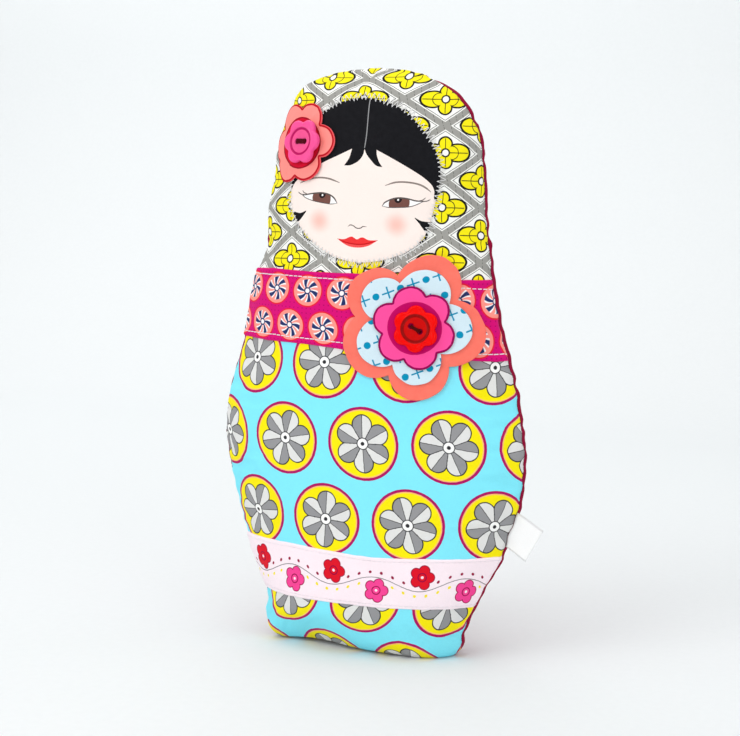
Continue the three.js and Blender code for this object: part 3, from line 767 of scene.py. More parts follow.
def tape_material():
    g = Graph("label_tape")
    s, h = g.flat()
    twill = g.sin((s + h) * (2 * PI / 0.5))
    fine = g.noise(g.point(s, h), 1.4, 3.0)
    c = g.mix(fine * 0.7 + twill * 0.15 + 0.15, lin(244, 244, 244), lin(253, 253, 253))
    c = g.mix(g.above(g.abs(h), 8.3, 0.15), c, lin(229, 229, 230))
    g.put(g.bsdf.inputs["Base Color"], c)
    g.bsdf.inputs["Roughness"].default_value = 0.55
    g.bsdf.inputs["Sheen Weight"].default_value = 0.25
    b = g.node("ShaderNodeBump")
    b.inputs["Strength"].default_value = 0.5
    b.inputs["Distance"].default_value = 0.00008
    g.put(b.inputs["Height"], twill * 0.5 + fine * 0.6)
    g.t.links.new(b.outputs[0], g.bsdf.inputs["Normal"])
    return g.mat


def fibre_material():
    g = Graph("fibre")
    s, h = g.flat()
    n = g.noise(g.point(s, h), 0.5, 6.0, 0.7)
    g.put(g.bsdf.inputs["Base Color"], g.mix(n, lin(232, 228, 218), lin(250, 248, 243)))
    g.bsdf.inputs["Roughness"].default_value = 0.95
    b = g.node("ShaderNodeBump")
    b.inputs["Distance"].default_value = 0.0006
    g.put(b.inputs["Height"], n)
    g.t.links.new(b.outputs[0], g.bsdf.inputs["Normal"])
    return g.mat


# ---------------------------------------------------------------- meshes
def piece(name, verts, faces, mats, body="doll", uv=None, which=None, replaces=(), solid=0.0, sharp=None, edge=None):
    me = bpy.data.meshes.new(name)
    me.from_pydata((np.asarray(verts) * MM).tolist(), [], [[int(v) for v in f] for f in faces])
    mats = mats if isinstance(mats, (list, tuple)) else [mats]
    for m in mats:
        me.materials.append(m)
    # the flat layer holds places on the flat cloth, and the edge layer the distance from a cut edge, both in millimetres
    for layer_name, value in (("flat", uv), ("edge", edge)):
        if value is not None:
            layer = me.uv_layers.new(name=layer_name)
            idx = np.empty(len(me.loops), int)
            me.loops.foreach_get("vertex_index", idx)
            layer.data.foreach_set("uv", np.asarray(value, float)[idx].ravel())
    if which is not None:
        me.polygons.foreach_set("material_index", np.asarray(which, int))
    me.polygons.foreach_set("use_smooth", np.ones(len(me.polygons), bool))
    me.validate()
    me.update()
    if sharp is not None:
        me.set_sharp_from_angle(angle=math.radians(sharp))
    ob = bpy.data.objects.new(name, me)
    bpy.context.scene.collection.objects.link(ob)
    if solid:
        mod = ob.modifiers.new("cloth thickness", "SOLIDIFY")
        mod.thickness = solid * MM
        mod.offset = -1
    if body:
        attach(ob, body)
    if replaces:
        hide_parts(*replaces)
    return ob


def grid_faces(r, c, start=0, flip=False):
    i, j = np.meshgrid(np.arange(r - 1), np.arange(c - 1), indexing="ij")
    a = start + i * c + j
    q = np.stack([a, a + 1, a + c + 1, a + c], axis=-1).reshape(-1, 4)
    return (q[:, ::-1] if flip else q).tolist()


class Bundle:
    """Many small meshes gathered into one."""

    def __init__(self):
        self.v, self.f, self.uv, self.n = [], [], [], 0

    def add(self, v, f, uv):
        self.v.append(np.asarray(v))
        self.uv.append(np.asarray(uv))
        self.f += [[k + self.n for k in q] for q in f]
        self.n += len(v)

    def arrays(self):
        return np.concatenate(self.v), self.f, np.concatenate(self.uv)


def tube(points, radius, normals, sides=6, ends=0.55):
    """A thread along points, with rounded ends."""
    p = np.asarray(points, float)
    r = np.broadcast_to(np.asarray(radius, float), (len(p),)).copy()
    t = np.gradient(p, axis=0)
    t /= np.maximum(np.linalg.norm(t, axis=1, keepdims=True), 1e-9)
    n = np.asarray(normals, float)
    n = n - (n * t).sum(axis=1, keepdims=True) * t
    n /= np.maximum(np.linalg.norm(n, axis=1, keepdims=True), 1e-9)
    b = np.cross(t, n)
    a = np.arange(sides) * 2 * PI / sides
    run = np.r_[0, np.cumsum(np.linalg.norm(np.diff(p, axis=0), axis=1))]
    rings = p[:, None] + r[:, None, None] * (np.cos(a)[None, :, None] * n[:, None] + np.sin(a)[None, :, None] * b[:, None])
    first, last = p[0] - t[0] * r[0] * ends, p[-1] + t[-1] * r[-1] * ends
    v = np.concatenate([rings.reshape(-1, 3), [first, last]])
    uv = np.concatenate([np.stack([np.repeat(run, sides), np.tile(a / (2 * PI), len(p))], axis=1), [[0, 0], [run[-1], 0]]])
    f = []
    for i in range(len(p) - 1):
        for k in range(sides):
            q = (k + 1) % sides
            f.append([i * sides + k, i * sides + q, (i + 1) * sides + q, (i + 1) * sides + k])
    m = len(p) * sides
    for k in range(sides):
        q = (k + 1) % sides
        f.append([m, q, k])
        f.append([m + 1, (len(p) - 1) * sides + k, (len(p) - 1) * sides + q])
    return v, f, uv


def smooth_line(pts, per=6, closed=False):
    p = np.asarray(pts, float)
    n = len(p)
    if closed:
        ext = np.concatenate([p[-1:], p, p[:2]])
    else:
        ext = np.concatenate([2 * p[:1] - p[1:2], p, 2 * p[-1:] - p[-2:-1]])
    out = []
    for i in range(n if closed else n - 1):
        a, b, c, d = ext[i], ext[i + 1], ext[i + 2], ext[i + 3]
        for k in range(per):
            t = k / per
            out.append(0.5 * (2 * b + (c - a) * t + (2 * a - 5 * b + 4 * c - d) * t * t + (3 * b - a - 3 * c + d) * t ** 3))
    if not closed:
        out.append(p[-1])
    return np.array(out)


def stroke(pts, width, taper=(0.35, 0.35), per=6):
    """A drawn line as a closed outline of that width, thinner towards its ends."""
    c = smooth_line(pts, per)
    t = np.gradient(c, axis=0)
    t /= np.maximum(np.linalg.norm(t, axis=1, keepdims=True), 1e-9)
    n = np.stack([-t[:, 1], t[:, 0]], axis=1)
    k = np.linspace(0, 1, len(c))
    w = 0.5 * width * np.minimum(1, np.minimum(taper[0] + k * 4, taper[1] + (1 - k) * 4))
    return np.concatenate([c + n * w[:, None], (c - n * w[:, None])[::-1]])


def ellipse(x, z, a, b, n=20):
    t = np.arange(n) * 2 * PI / n
    return np.stack([x + a * np.cos(t), z + b * np.sin(t)], axis=1)


def inside(poly, pts):
    x, y = pts[:, 0], pts[:, 1]
    c = np.zeros(len(pts), bool)
    px, py = poly[:, 0], poly[:, 1]
    qx, qy = np.roll(px, -1), np.roll(py, -1)
    for a, b, d, e in zip(px, py, qx, qy):
        if b == e:
            continue
        hit = ((b > y) != (e > y)) & (x < (d - a) * (y - b) / (e - b) + a)
        c ^= hit
    return c


def edge_distance(poly, pts):
    best = np.full(len(pts), 1e9)
    q = np.roll(poly, -1, axis=0)
    for a, b in zip(poly, q):
        d = b - a
        k = np.clip(((pts - a) @ d) / max(d @ d, 1e-12), 0, 1)
        best = np.minimum(best, np.linalg.norm(pts - a - k[:, None] * d, axis=1))
    return best


def counterclockwise(poly):
    p = np.asarray(poly, float)
    q = np.roll(p, -1, axis=0)
    return p if np.sum(p[:, 0] * q[:, 1] - q[:, 0] * p[:, 1]) > 0 else p[::-1]


def regions_mesh(outline, regions, spacing, holes=()):
    """A flat triangle mesh of the outline, cut along every region's outline. Gives points, triangles and each triangle's region (0 = none)."""
    polys = [counterclockwise(p) for p in [outline, *regions, *holes]]
    lo, hi = polys[0].min(axis=0), polys[0].max(axis=0)
    gx, gz = np.meshgrid(np.arange(lo[0], hi[0], spacing), np.arange(lo[1], hi[1], spacing * 0.866))
    gx = gx + (np.arange(gx.shape[0]) % 2)[:, None] * spacing * 0.5
    pts = np.stack([gx.ravel(), gz.ravel()], axis=1)
    keep = inside(polys[0], pts) & (edge_distance(polys[0], pts) > spacing * 0.45)
    for p in polys[1:]:
        keep &= edge_distance(p, pts) > spacing * 0.22
    pts = pts[keep]
    verts, faces = [], []
    for p in polys:
        faces.append(list(range(len(verts), len(verts) + len(p))))
        verts += [Vector((float(a), float(b))) for a, b in p]
    verts += [Vector((float(a), float(b))) for a, b in pts]
    v, _e, f, _ov, _oe, of = delaunay_2d_cdt(verts, [], faces, 0, 1e-6)
    v = np.array([[q[0], q[1]] for q in v])
    first_hole = 1 + len(regions)
    tris, which = [], []
    for face, src in zip(f, of):
        if 0 not in src or any(k >= first_hole for k in src):
            continue
        face = list(face)
        a, b, c = v[face[0]], v[face[1]], v[face[2]]
        if (b[0] - a[0]) * (c[1] - a[1]) - (b[1] - a[1]) * (c[0] - a[0]) < 0:
            face = face[::-1]
        tris.append(face)
        which.append(max([k for k in src if k < first_hole]))
    used = np.unique(np.concatenate([np.array(t) for t in tris]))
    place = np.full(len(v), -1)
    place[used] = np.arange(len(used))
    return v[used], [[int(place[k]) for k in t] for t in tris], np.array(which)


def open_edges(faces):
    """Directed edges used by one face only."""
    seen = {}
    for k, f in enumerate(faces):
        for a, b in zip(f, f[1:] + f[:1]):
            seen[(a, b)] = k
    return [(a, b, k) for (a, b), k in seen.items() if (b, a) not in seen]


def with_edge(verts, faces, which, uv, under):
    """Adds the cut edge's thickness: under gives the lower place of every vertex."""
    rim = open_edges(faces)
    low = {}
    v, t = list(map(np.asarray, verts)), list(map(np.asarray, uv))
    faces, which = list(faces), list(which)
    for a, b, k in rim:
        for q in (a, b):
            if q not in low:
                low[q] = len(v)
                v.append(under[q])
                t.append(uv[q])
    for a, b, k in rim:
        faces.append([b, a, low[a], low[b]])
        which.append(which[k])
    return np.array(v), faces, which, np.array(t)


# ---------------------------------------------------------------- materials
M_HEAD = cotton("head_print", head_print)
M_BODY = cotton("body_print", body_print)
M_BACK = cotton("back_cloth", plain(146, 6, 54), vary=0.09)
M_SASH = cotton("sash_print", sash_print)
M_HEM = cotton("ribbon", hem_print)
M_SKIN = cotton("skin", skin_print, vary=0.025)
M_HAIR = cotton("hair", plain(22, 22, 26), vary=0.12, sheen=0.02)
M_FACE_LINE = cotton("face_line", plain(92, 84, 82))
M_BROW = cotton("brow", plain(138, 126, 120))
M_PART = cotton("hair_parting", plain(150, 150, 152))
M_WHITE = cotton("eye_white", plain(252, 251, 249), vary=0.02)
M_IRIS = cotton("iris", plain(118, 78, 70))
M_PUPIL = cotton("pupil", plain(40, 30, 32))
M_LIP = cotton("lip_upper", plain(238, 54, 56))
M_LIP_LOW = cotton("lip_lower", plain(240, 80, 80))
M_LIP_LINE = cotton("lip_line", plain(200, 16, 26))
M_CORAL = cotton("coral_cloth", plain(255, 120, 104))
M_BLUE = cotton("blue_print", blue_print)
M_PINK = cotton("pink_cloth", pink_print)
M_HAIR_FLOWER = cotton("hair_flower_cloth", hair_flower_print)
M_WHITE_THREAD = thread("white_thread", (255, 255, 255), deep=0.95)
M_RIBBON_THREAD = thread("ribbon_thread", (255, 244, 250), deep=0.96)
M_SEAM_THREAD = thread("seam_thread", (128, 8, 54))
M_DARK_THREAD = thread("dark_thread", (92, 0, 22), sheen=0.0, spec=0.12)
M_RED_THREAD = thread("red_thread", (88, 0, 2), sheen=0.0, spec=0.12)
# the darker ring colour and middle colour given here are painted shade for the groove and the dished middle
M_RED = plastic("red_plastic", (248, 4, 0), (146, 0, 0), 6.5, 0.8, (210, 3, 2), 0.09)
M_PINK_PLASTIC = plastic("pink_plastic", (254, 84, 156), (186, 0, 92), 6.5, 0.62, (252, 86, 152), 0.16)
M_TAPE = tape_material()
M_FIBRE = fibre_material()


# ---------------------------------------------------------------- the stuffed bag: three cloth panels over the filling
def flat_map(flat):
    """Flat cloth coordinates of a panel: s across from the middle, h up along the cloth."""
    step = np.linalg.norm(np.diff(flat, axis=1), axis=-1)
    s = np.concatenate([np.zeros((ROWS, 1)), np.cumsum(step, axis=1)], axis=1)
    s = s - 0.5 * s[:, -1:]
    z = FZ
    lean = np.r_[0, np.cumsum(np.sqrt(np.diff(z) ** 2 + np.diff(half_depth(z)) ** 2))] - (z - z[0])
    lean[:NB] = lean[NB]
    lean -= np.interp(150.0, z[NB:], lean[NB:])
    side_on = (2 * s / np.maximum(2 * np.abs(s[:, -1:]), 1e-6)) ** 2
    h = z[:, None] + lean[:, None] * (1 - np.clip(side_on, 0, 1)) * np.ones_like(s)
    below = np.r_[FQ[:NB] * 16.0, np.zeros(ROWS - NB)]
    return np.stack([s, h + below[:, None]], axis=-1)


F_UV, B_UV = flat_map(FFLAT), flat_map(BFLAT)
yoke_row = int(np.argmin(np.abs(FZ - YOKE_Z)))


def panel(name, p, uv, r0, r1, mat, node, flip):
    r = r1 - r0
    v, t = p[r0:r1].reshape(-1, 3), uv[r0:r1].reshape(-1, 2)
    f = grid_faces(r, FC + 1, flip=flip)
    if r1 == ROWS:
        # the crown is one point
        top = (r - 1) * (FC + 1)
        f = [[k if k < top else top for k in q] for q in f]
        f = [list(dict.fromkeys(q)) for q in f]
        v, t = v[: top + 1], t[: top + 1]
    return piece(name, v, f, mat, uv=t, replaces=[node], solid=0.6)


head_cloth = panel("head_cloth", FP, F_UV, yoke_row, ROWS, M_HEAD, "head_panel", False)
body_cloth = panel("body_cloth", FP, F_UV, 0, yoke_row + 1, M_BODY, "body_panel", False)
back_cloth = panel("back_cloth", BP, B_UV, 0, ROWS, M_BACK, "back_panel", True)

# the filling: a lumpy closed form just inside the cloth
fin, bin_ = (FP - 2.2 * FN)[::4, ::4], (BP - 2.2 * BN)[::4, ::4]
fin[0, :, 2] = bin_[0, :, 2] = FP[0, ::4, 2] + 0.9
for c in (0, -1):
    fin[:, c] = bin_[:, c] = 0.5 * (fin[:, c] + bin_[:, c])
fin[0] = bin_[0] = 0.5 * (fin[0] + bin_[0])
if (ROWS - 1) % 4:
    last = (FP[-1, :1] - [[0, 0, 2.2]]) * np.ones((fin.shape[1], 1))
    fin, bin_ = np.concatenate([fin, last[None]]), np.concatenate([bin_, last[None]])
cv, cf, cfi, cbi = weld(fin, bin_)
used = np.unique(np.concatenate([np.array(f) for f in cf]))
place = np.full(len(cv), -1)
place[used] = np.arange(len(used))
filling = piece("filling", cv[used], [[place[k] for k in f] for f in cf], M_FIBRE, uv=cv[used][:, [0, 2]], replaces=["stuffing_core"])


# ---------------------------------------------------------------- sash and ribbon band
# the edges are not quite parallel: slope of the low and of the high edge, and how the high edge bows, across the front
SASH = dict(low=157.4, high=195.6, slope=(-0.047, -0.023), bow=([-80, 80], [0, 0]))
HEM = dict(low=28.0, high=53.6, slope=(0.0, 0.0), bow=([-70, -45, -20, 15, 65], [2.6, 2.4, 1.3, -0.3, 1.4]))


def band_z(band, k, s):
    """Height on the doll of the place k (0 low edge, 1 high edge) of a band, at flat place s."""
    z = band["low"] + (band["high"] - band["low"]) * k
    x = np.sin(np.clip(s / seam_s(z), -1, 1) * PI / 2) * half_width(z)
    return z + (band["slope"][0] * (1 - k) + band["slope"][1] * k) * x + k * np.interp(x, *band["bow"])


def band_profile(mm, wide, stitch, rise):
    """Height of a band's top above the cloth: folded edges are thicker, and the stitch rows pull it down."""
    e = np.minimum(mm, wide - mm)
    d = rise * (0.35 + 0.65 * np.sqrt(np.clip(e / 0.9, 0, 1)))
    d = d + 0.22 * np.exp(-(((e - 1.4) / 1.3) ** 2))
    d = d - 0.32 * np.exp(-(((e - stitch) / 0.7) ** 2))
    return d


def band_piece(name, band, stitch, rise, mat, node, seed):
    wide = band["high"] - band["low"]
    rows = np.unique(np.round(np.r_[0, 0.25, 0.6, 1.0, 1.5, np.arange(2.1, wide / 2, 0.7)], 3))
    rows = np.r_[rows, wide / 2, (wide - rows)[::-1]]
    cols = 180
    k = np.linspace(-1, 1, cols + 1)
    m, c = np.meshgrid(rows, k, indexing="ij")
    zmid = band["low"] + m
    s = c * (seam_s(zmid) - 0.03)
    z = band_z(band, m / wide, s)
    s = c * (seam_s(z) - 0.03)
    # hand-sewn edges are never quite straight, and the rows of stitching pull small ripples
    wander = 0.28 * noise1(s / 17.0, seed) + 0.12 * noise1(s / 4.0, seed + 1)
    z = z + np.where(m < wide / 2, 1, -1) * wander * (1 - np.clip(np.minimum(m, wide - m) / (wide * 0.4), 0, 1))
    e = np.minimum(m, wide - m)
    d = band_profile(m, wide, stitch, rise) + 0.10 * noise2(s / 3.1, m / 5.0, seed) * np.exp(-(((e - stitch) / 3.0) ** 2)) + 0.12 * noise2(s / 11.0, m / 9.0, seed + 3)
    ends = np.clip((1 - np.abs(c)) * seam_s(z) / 2.0, 0, 1)
    d = 0.12 + (d - 0.12) * ends
    p, n = on_front(s, z, d)
    low, _n = on_front(s, z, 0.05)
    r, q = len(rows), cols + 1
    uv = np.stack([s, m], axis=-1).reshape(-1, 2)
    v, f, w, t = with_edge(p.reshape(-1, 3), grid_faces(r, q), [0] * ((r - 1) * (q - 1)), uv, low.reshape(-1, 3))
    ob = piece(name, v, f, mat, uv=t, replaces=[node], sharp=60)
    2 * float(seam_s(np.array(band["low"] + wide / 2))) * MM
    return ob


def stitch_row(name, band, inset, length, gap, mat, node, base_d, radius, upper, drift=0.0):
    """A row of separate machine stitches along a band."""
    wide = band["high"] - band["low"]
    k = (wide - inset) / wide if upper else inset / wide
    fine = np.linspace(-1, 1, 1501)
    z0 = band["low"] + wide * k
    s = fine * (float(seam_s(np.array(z0))) - 0.4)
    s = fine * (seam_s(band_z(band, k, s)) - 0.4)
    z = band_z(band, k, s) + 0.10 * noise1(s / 9.0, 5.0 + inset + (3.0 if upper else 0.0))
    z = z - (drift * np.maximum(s, 0))
    run = np.r_[0, np.cumsum(np.hypot(np.diff(s), np.diff(z)))]
    b = Bundle()
    at = 0.6
    i = 0
    while at + 0.9 < run[-1]:
        ln = min(length * (1 + 0.08 * float(noise1(np.array(i * 0.7), 2.0))), run[-1] - at)
        q = np.linspace(at, at + ln, 7)
        ss, zz = np.interp(q, run, s), np.interp(q, run, z)
        t = np.linspace(-1, 1, 7)
        lift = 0.12 + (base_d - 0.12) * np.clip((seam_s(zz) - np.abs(ss)) / 2.0, 0, 1)
        d = lift + radius * 0.7 - (radius * 2.3) * np.abs(t) ** 5
        zz = zz + 0.05 * np.sin(i * 2.3) + 0.06 * t
        p, n = on_front(ss, zz, d)
        b.add(*tube(p, radius, n, sides=6))
        at += ln + gap
        i += 1
    v, f, uv = b.arrays()
    return piece(name, v, f, mat, uv=uv, replaces=[node])


sash = band_piece("sash", SASH, 3.2, 0.95, M_SASH, "sash_band", 11.0)
ribbon = band_piece("ribbon_band", HEM, 1.6, 0.8, M_HEM, "hem_band", 23.0)
stitch_row("sash_stitches_upper", SASH, 3.2, 2.7, 0.25, M_WHITE_THREAD, "sash_stitch_upper", 0.72, 0.27, True, 0.018)
stitch_row("sash_stitches_lower", SASH, 3.2, 2.7, 0.25, M_WHITE_THREAD, "sash_stitch_lower", 0.72, 0.27, False)
stitch_row("ribbon_stitches_upper", HEM, 1.6, 2.4, 0.25, M_RIBBON_THREAD, "hem_stitch_upper", 0.66, 0.2, True)
stitch_row("ribbon_stitches_lower", HEM, 1.6, 2.4, 0.25, M_RIBBON_THREAD, "hem_stitch_lower", 0.66, 0.2, False)


# ---------------------------------------------------------------- the face: one oval of printed cloth
OVAL = smooth_line([(1.5, 283.0), (13.7, 280.4), (21.7, 276.3), (27.9, 270.1), (33.0, 263.3), (36.2, 257.2), (38.3, 249.9), (38.7, 243.2), (37.9, 235.3),
                    (36.3, 225.6), (33.8, 218.1), (29.3, 211.9), (22.1, 206.7), (11.1, 202.7), (-0.2, 201.4), (-9.6, 202.7), (-17.4, 205.4), (-25.3, 209.9),
                    (-32.2, 215.8), (-38.0, 223.4), (-41.1, 231.1), (-41.8, 238.0), (-41.0, 245.5), (-38.0, 255.8), (-31.9, 267.0), (-22.4, 276.1), (-11.9, 281.3)],
                   6, closed=True)[::-1]
HAIRLINE = [(-46, 232.4), (-41.8, 234.2), (-41.0, 238.0), (-38.0, 242.0), (-30.4, 246.6), (-22.2, 250.9), (-13.2, 254.7), (-6.1, 257.8)]
LOCK_L = [(-6.1, 257.8), (-6.7, 255.9), (-7.8, 252.9), (-10.3, 249.5)]
LOCK_L2 = [(-10.3, 249.5), (-7.0, 249.6), (-3.1, 251.4), (-0.5, 254.3), (0.5, 257.6)]
LOCK_R = [(0.5, 257.6), (1.7, 254.8), (4.2, 251.7), (6.6, 249.4), (9.8, 248.7)]
LOCK_R2 = [(9.8, 248.7), (8.0, 251.3), (6.9, 254.7), (6.8, 257.2)]
HAIRLINE_R = [(6.8, 257.2), (11.2, 254.9), (20.4, 249.9), (29.2, 244.7), (34.2, 240.8), (36.2, 237.6), (37.2, 232.8), (44.5, 231.0)]
hair = np.concatenate([smooth_line(a)[:-1] for a in (HAIRLINE, LOCK_L, LOCK_L2, LOCK_R, LOCK_R2, HAIRLINE_R)] + [np.array([(44.5, 231.0), (48, 262), (30, 292), (-30, 292), (-50, 262)])])

EYE_L_UP = [(-33.1, 234.5), (-29.9, 235.1), (-25.0, 235.7), (-21.0, 235.8), (-17.0, 234.9), (-14.3, 233.2), (-12.4, 230.7)]
EYE_L_LO = [(-33.1, 234.5), (-29.8, 232.9), (-24.9, 231.6), (-19.5, 230.7), (-15.6, 230.3), (-12.4, 230.7)]
EYE_R_UP = [(11.2, 229.6), (12.6, 231.5), (16.1, 233.2), (19.5, 233.8), (23.6, 233.4), (27.6, 232.5), (31.6, 232.2)]
EYE_R_LO = [(11.2, 229.6), (15.0, 229.0), (20.2, 229.1), (24.3, 229.4), (27.6, 230.3), (31.6, 232.2)]


def lens(up, lo):
    return np.concatenate([smooth_line(up), smooth_line(lo)[::-1][1:-1]])


def between(up, lo, x0, x1, n=9):
    """The part of an eye between two places across it."""
    u, l = smooth_line(up, 12), smooth_line(lo, 12)
    x = np.linspace(x0, x1, n)
    uo, lo_ = np.argsort(u[:, 0]), np.argsort(l[:, 0])
    bulge = 0.35 * np.sin(np.linspace(0, PI, 5)[1:-1])
    zu, zl = np.interp(x, u[uo, 0], u[uo, 1]), np.interp(x, l[lo_, 0], l[lo_, 1])
    zr, zq = np.linspace(zu[-1], zl[-1], 5)[1:-1], np.linspace(zl[0], zu[0], 5)[1:-1]
    return np.concatenate([np.stack([x, zu], 1), np.stack([x1 + bulge, zr], 1), np.stack([x, zl], 1)[::-1], np.stack([x0 - bulge, zq], 1)])


def dot(up, x, z, r):
    """A round spot cut off by the upper lid."""
    u = smooth_line(up, 12)
    o = np.argsort(u[:, 0])
    e = ellipse(x, z, r, r, 22)
    e[:, 1] = np.minimum(e[:, 1], np.interp(e[:, 0], u[o, 0], u[o, 1]) - 0.05)
    return e


LIP_UP = [(-12.6, 213.1), (-8.8, 212.9), (-5.5, 214.1), (-4.1, 214.1), (-2.0, 212.9), (0.1, 213.8), (1.6, 213.8), (4.3, 212.6), (8.8, 212.6)]
LIP_MID = [(-12.6, 213.1), (-8.8, 211.5), (-4.2, 210.6), (0.1, 210.4), (4.3, 211.1), (8.8, 212.6)]
LIP_LO = [(-12.6, 213.1), (-9.2, 210.7), (-5.3, 209.1), (-0.4, 208.8), (3.8, 209.7), (6.6, 211.2), (8.8, 212.6)]

FACE_REGIONS = [
    (M_HAIR, hair),
    (M_PART, stroke([(3.6, 282.9), (2.6, 272.8), (1.5, 264.2), (0.5, 258.0)], 0.5, (1, 0.6))),
    (M_HAIR, smooth_line([(-38.8, 226.3), (-33.9, 225.7), (-30.0, 226.9), (-31.7, 224.6), (-34.2, 222.3), (-36.0, 221.4), (-37.4, 223.7)], 5, True)),
    (M_HAIR, smooth_line([(27.6, 224.2), (30.7, 222.7), (34.1, 222.2), (36.6, 221.8), (35.0, 220.0), (32.8, 217.4), (31.4, 219.0), (29.6, 221.6)], 5, True)),
    (M_BROW, stroke([(-35.6, 240.7), (-30.6, 242.5), (-24.3, 243.4), (-18.3, 242.9), (-12.2, 240.9)], 0.85, (0.35, 0.35))),
    (M_BROW, stroke([(11.6, 239.7), (16.6, 241.3), (22.0, 241.5), (27.7, 240.7), (31.6, 239.1), (34.7, 236.9)], 0.85, (0.35, 0.35))),
    (M_WHITE, lens(EYE_L_UP, EYE_L_LO)),
    (M_WHITE, lens(EYE_R_UP, EYE_R_LO)),
    (M_IRIS, between(EYE_L_UP, EYE_L_LO, -26.4, -16.5)),
    (M_IRIS, between(EYE_R_UP, EYE_R_LO, 14.8, 24.5)),
    (M_PUPIL, dot(EYE_L_UP, -21.1, 235.0, 1.85)),
    (M_PUPIL, dot(EYE_R_UP, 19.0, 233.1, 1.9)),
    (M_WHITE, ellipse(-21.0, 234.7, 0.5, 0.5)),
    (M_WHITE, ellipse(19.0, 232.8, 0.5, 0.5)),
    (M_FACE_LINE, stroke(EYE_L_UP, 0.7, (0.5, 0.4))),
    (M_FACE_LINE, stroke(EYE_R_UP, 0.7, (0.4, 0.5))),
    (M_FACE_LINE, stroke(EYE_L_LO, 0.42, (0.5, 0.4))),
    (M_FACE_LINE, stroke(EYE_R_LO, 0.42, (0.4, 0.5))),
    (M_FACE_LINE, stroke([(-36.3, 236.4), (-34.2, 235.2), (-31.6, 234.9)], 0.5, (0.2, 1))),
    (M_FACE_LINE, stroke([(-33.3, 237.1), (-32.4, 236.0), (-30.6, 235.4)], 0.45, (0.2, 1))),
    (M_FACE_LINE, stroke([(30.6, 232.3), (33.0, 232.4), (34.9, 233.3)], 0.5, (1, 0.2))),
    (M_FACE_LINE, stroke([(29.5, 232.5), (31.2, 233.0), (32.5, 234.2)], 0.45, (1, 0.2))),
    (M_FACE_LINE, stroke([(-6.4, 219.2), (-5.2, 220.0), (-3.6, 219.7), (-1.8, 218.5), (0.1, 218.5), (1.6, 219.3), (3.4, 219.2)], 0.5, (0.3, 0.3))),
    (M_LIP, lens(LIP_UP, LIP_MID)),
    (M_LIP_LOW, lens(LIP_MID, LIP_LO)),
    (M_LIP_LINE, stroke(LIP_MID, 0.6, (0.3, 0.3))),
]
fv, ff, fw = regions_mesh(OVAL, [p for _m, p in FACE_REGIONS], 2.0)
face_mats = [M_SKIN] + [m for m, _p in FACE_REGIONS]
unique = []
for m in face_mats:
    if m not in unique:
        unique.append(m)
index_of = np.array([unique.index(m) for m in face_mats])
e = edge_distance(OVAL, fv)
d = 0.30 + 0.5 * np.clip(e / 0.5, 0, 1) - 0.18 * np.exp(-(((e - 1.6) / 1.2) ** 2)) + 0.08 * noise2(fv[:, 0] / 6.0, fv[:, 1] / 6.0, 3.0)
fp, _n = on_front(fv[:, 0], fv[:, 1], d)
fl, _n = on_front(fv[:, 0], fv[:, 1], 0.05)
v, f, w, t = with_edge(fp, ff, index_of[fw].tolist(), fv, fl)
face = piece("face", v, f, unique, uv=t, which=w, replaces=["face_applique"], sharp=50)


def zigzag(name, outline, inner, outer, pitch, radius, mat, node):
    """Zigzag machine stitching over a cut edge."""
    c = np.concatenate([outline, outline[:1]])
    run = np.r_[0, np.cumsum(np.linalg.norm(np.diff(c, axis=0), axis=1))]
    n = int(round(run[-1] / pitch))
    b = Bundle()
    tang = np.gradient(c, axis=0)
    tang[0] = tang[-1] = 0.5 * (tang[0] + tang[-1])
    tang /= np.linalg.norm(tang, axis=1, keepdims=True)
    outn = np.stack([tang[:, 1], -tang[:, 0]], axis=1)
    mid = outline.mean(axis=0)
    if ((c[0] - mid) @ outn[0]) < 0:
        outn = -outn

    def spot(r, k):
        r = r % run[-1]
        p = np.array([np.interp(r, run, c[:, i]) for i in (0, 1)])
        q = np.array([np.interp(r, run, outn[:, i]) for i in (0, 1)])
        return p + q * k

    knots = []
    for i in range(n):
        j, k = (float(noise1(np.array(i * 1.7), q)) for q in (6.0, 9.0))
        slip = 0.22 * float(noise1(np.array(i * 0.9), 13.0))
        knots.append((spot((i + slip) * run[-1] / n, -inner + 0.5 * j), False))
        knots.append((spot((i + 0.5 - slip) * run[-1] / n, outer + 0.55 * k), True))
    knots.append(knots[0])
    for (a, oa), (q, oq) in zip(knots[:-1], knots[1:]):
        k = np.linspace(0, 1, 8)[:, None]
        line = a + (q - a) * k
        ed = edge_distance(outline, line)
        isin = inside(outline, line)
        ground = np.where(isin, 0.30 + 0.5 * np.clip(ed / 0.5, 0, 1), np.clip(0.45 - ed * 0.4, 0.02, 1))
        tt = np.linspace(-1, 1, 8)
        d = ground + radius * 0.9 - radius * 2.4 * np.abs(tt) ** 7
        p, nn = on_front(line[:, 0], line[:, 1], d)
        b.add(*tube(p, radius, nn, sides=6))
    v, f, uv = b.arrays()
    return piece(name, v, f, mat, uv=uv, replaces=[node])


zigzag("face_zigzag", OVAL, 1.15, 3.0, 2.35, 0.17, M_WHITE_THREAD, "face_zigzag_stitch")


# ---------------------------------------------------------------- cloth flowers
def petal_radius(beta, petals):
    """Radius of a flower of round lobes in each direction, and which petal reaches farthest there."""
    reach = []
    for turn, ring, lobe in petals:
        b = beta - math.radians(turn)
        chord = lobe ** 2 - (ring * np.sin(b)) ** 2
        reach.append(np.where((chord > 0) & (np.cos(b) > 0), ring * np.cos(b) + np.sqrt(np.maximum(chord, 0)), 0.0))
    reach = np.array(reach)
    return reach.max(axis=0), reach.argmax(axis=0)


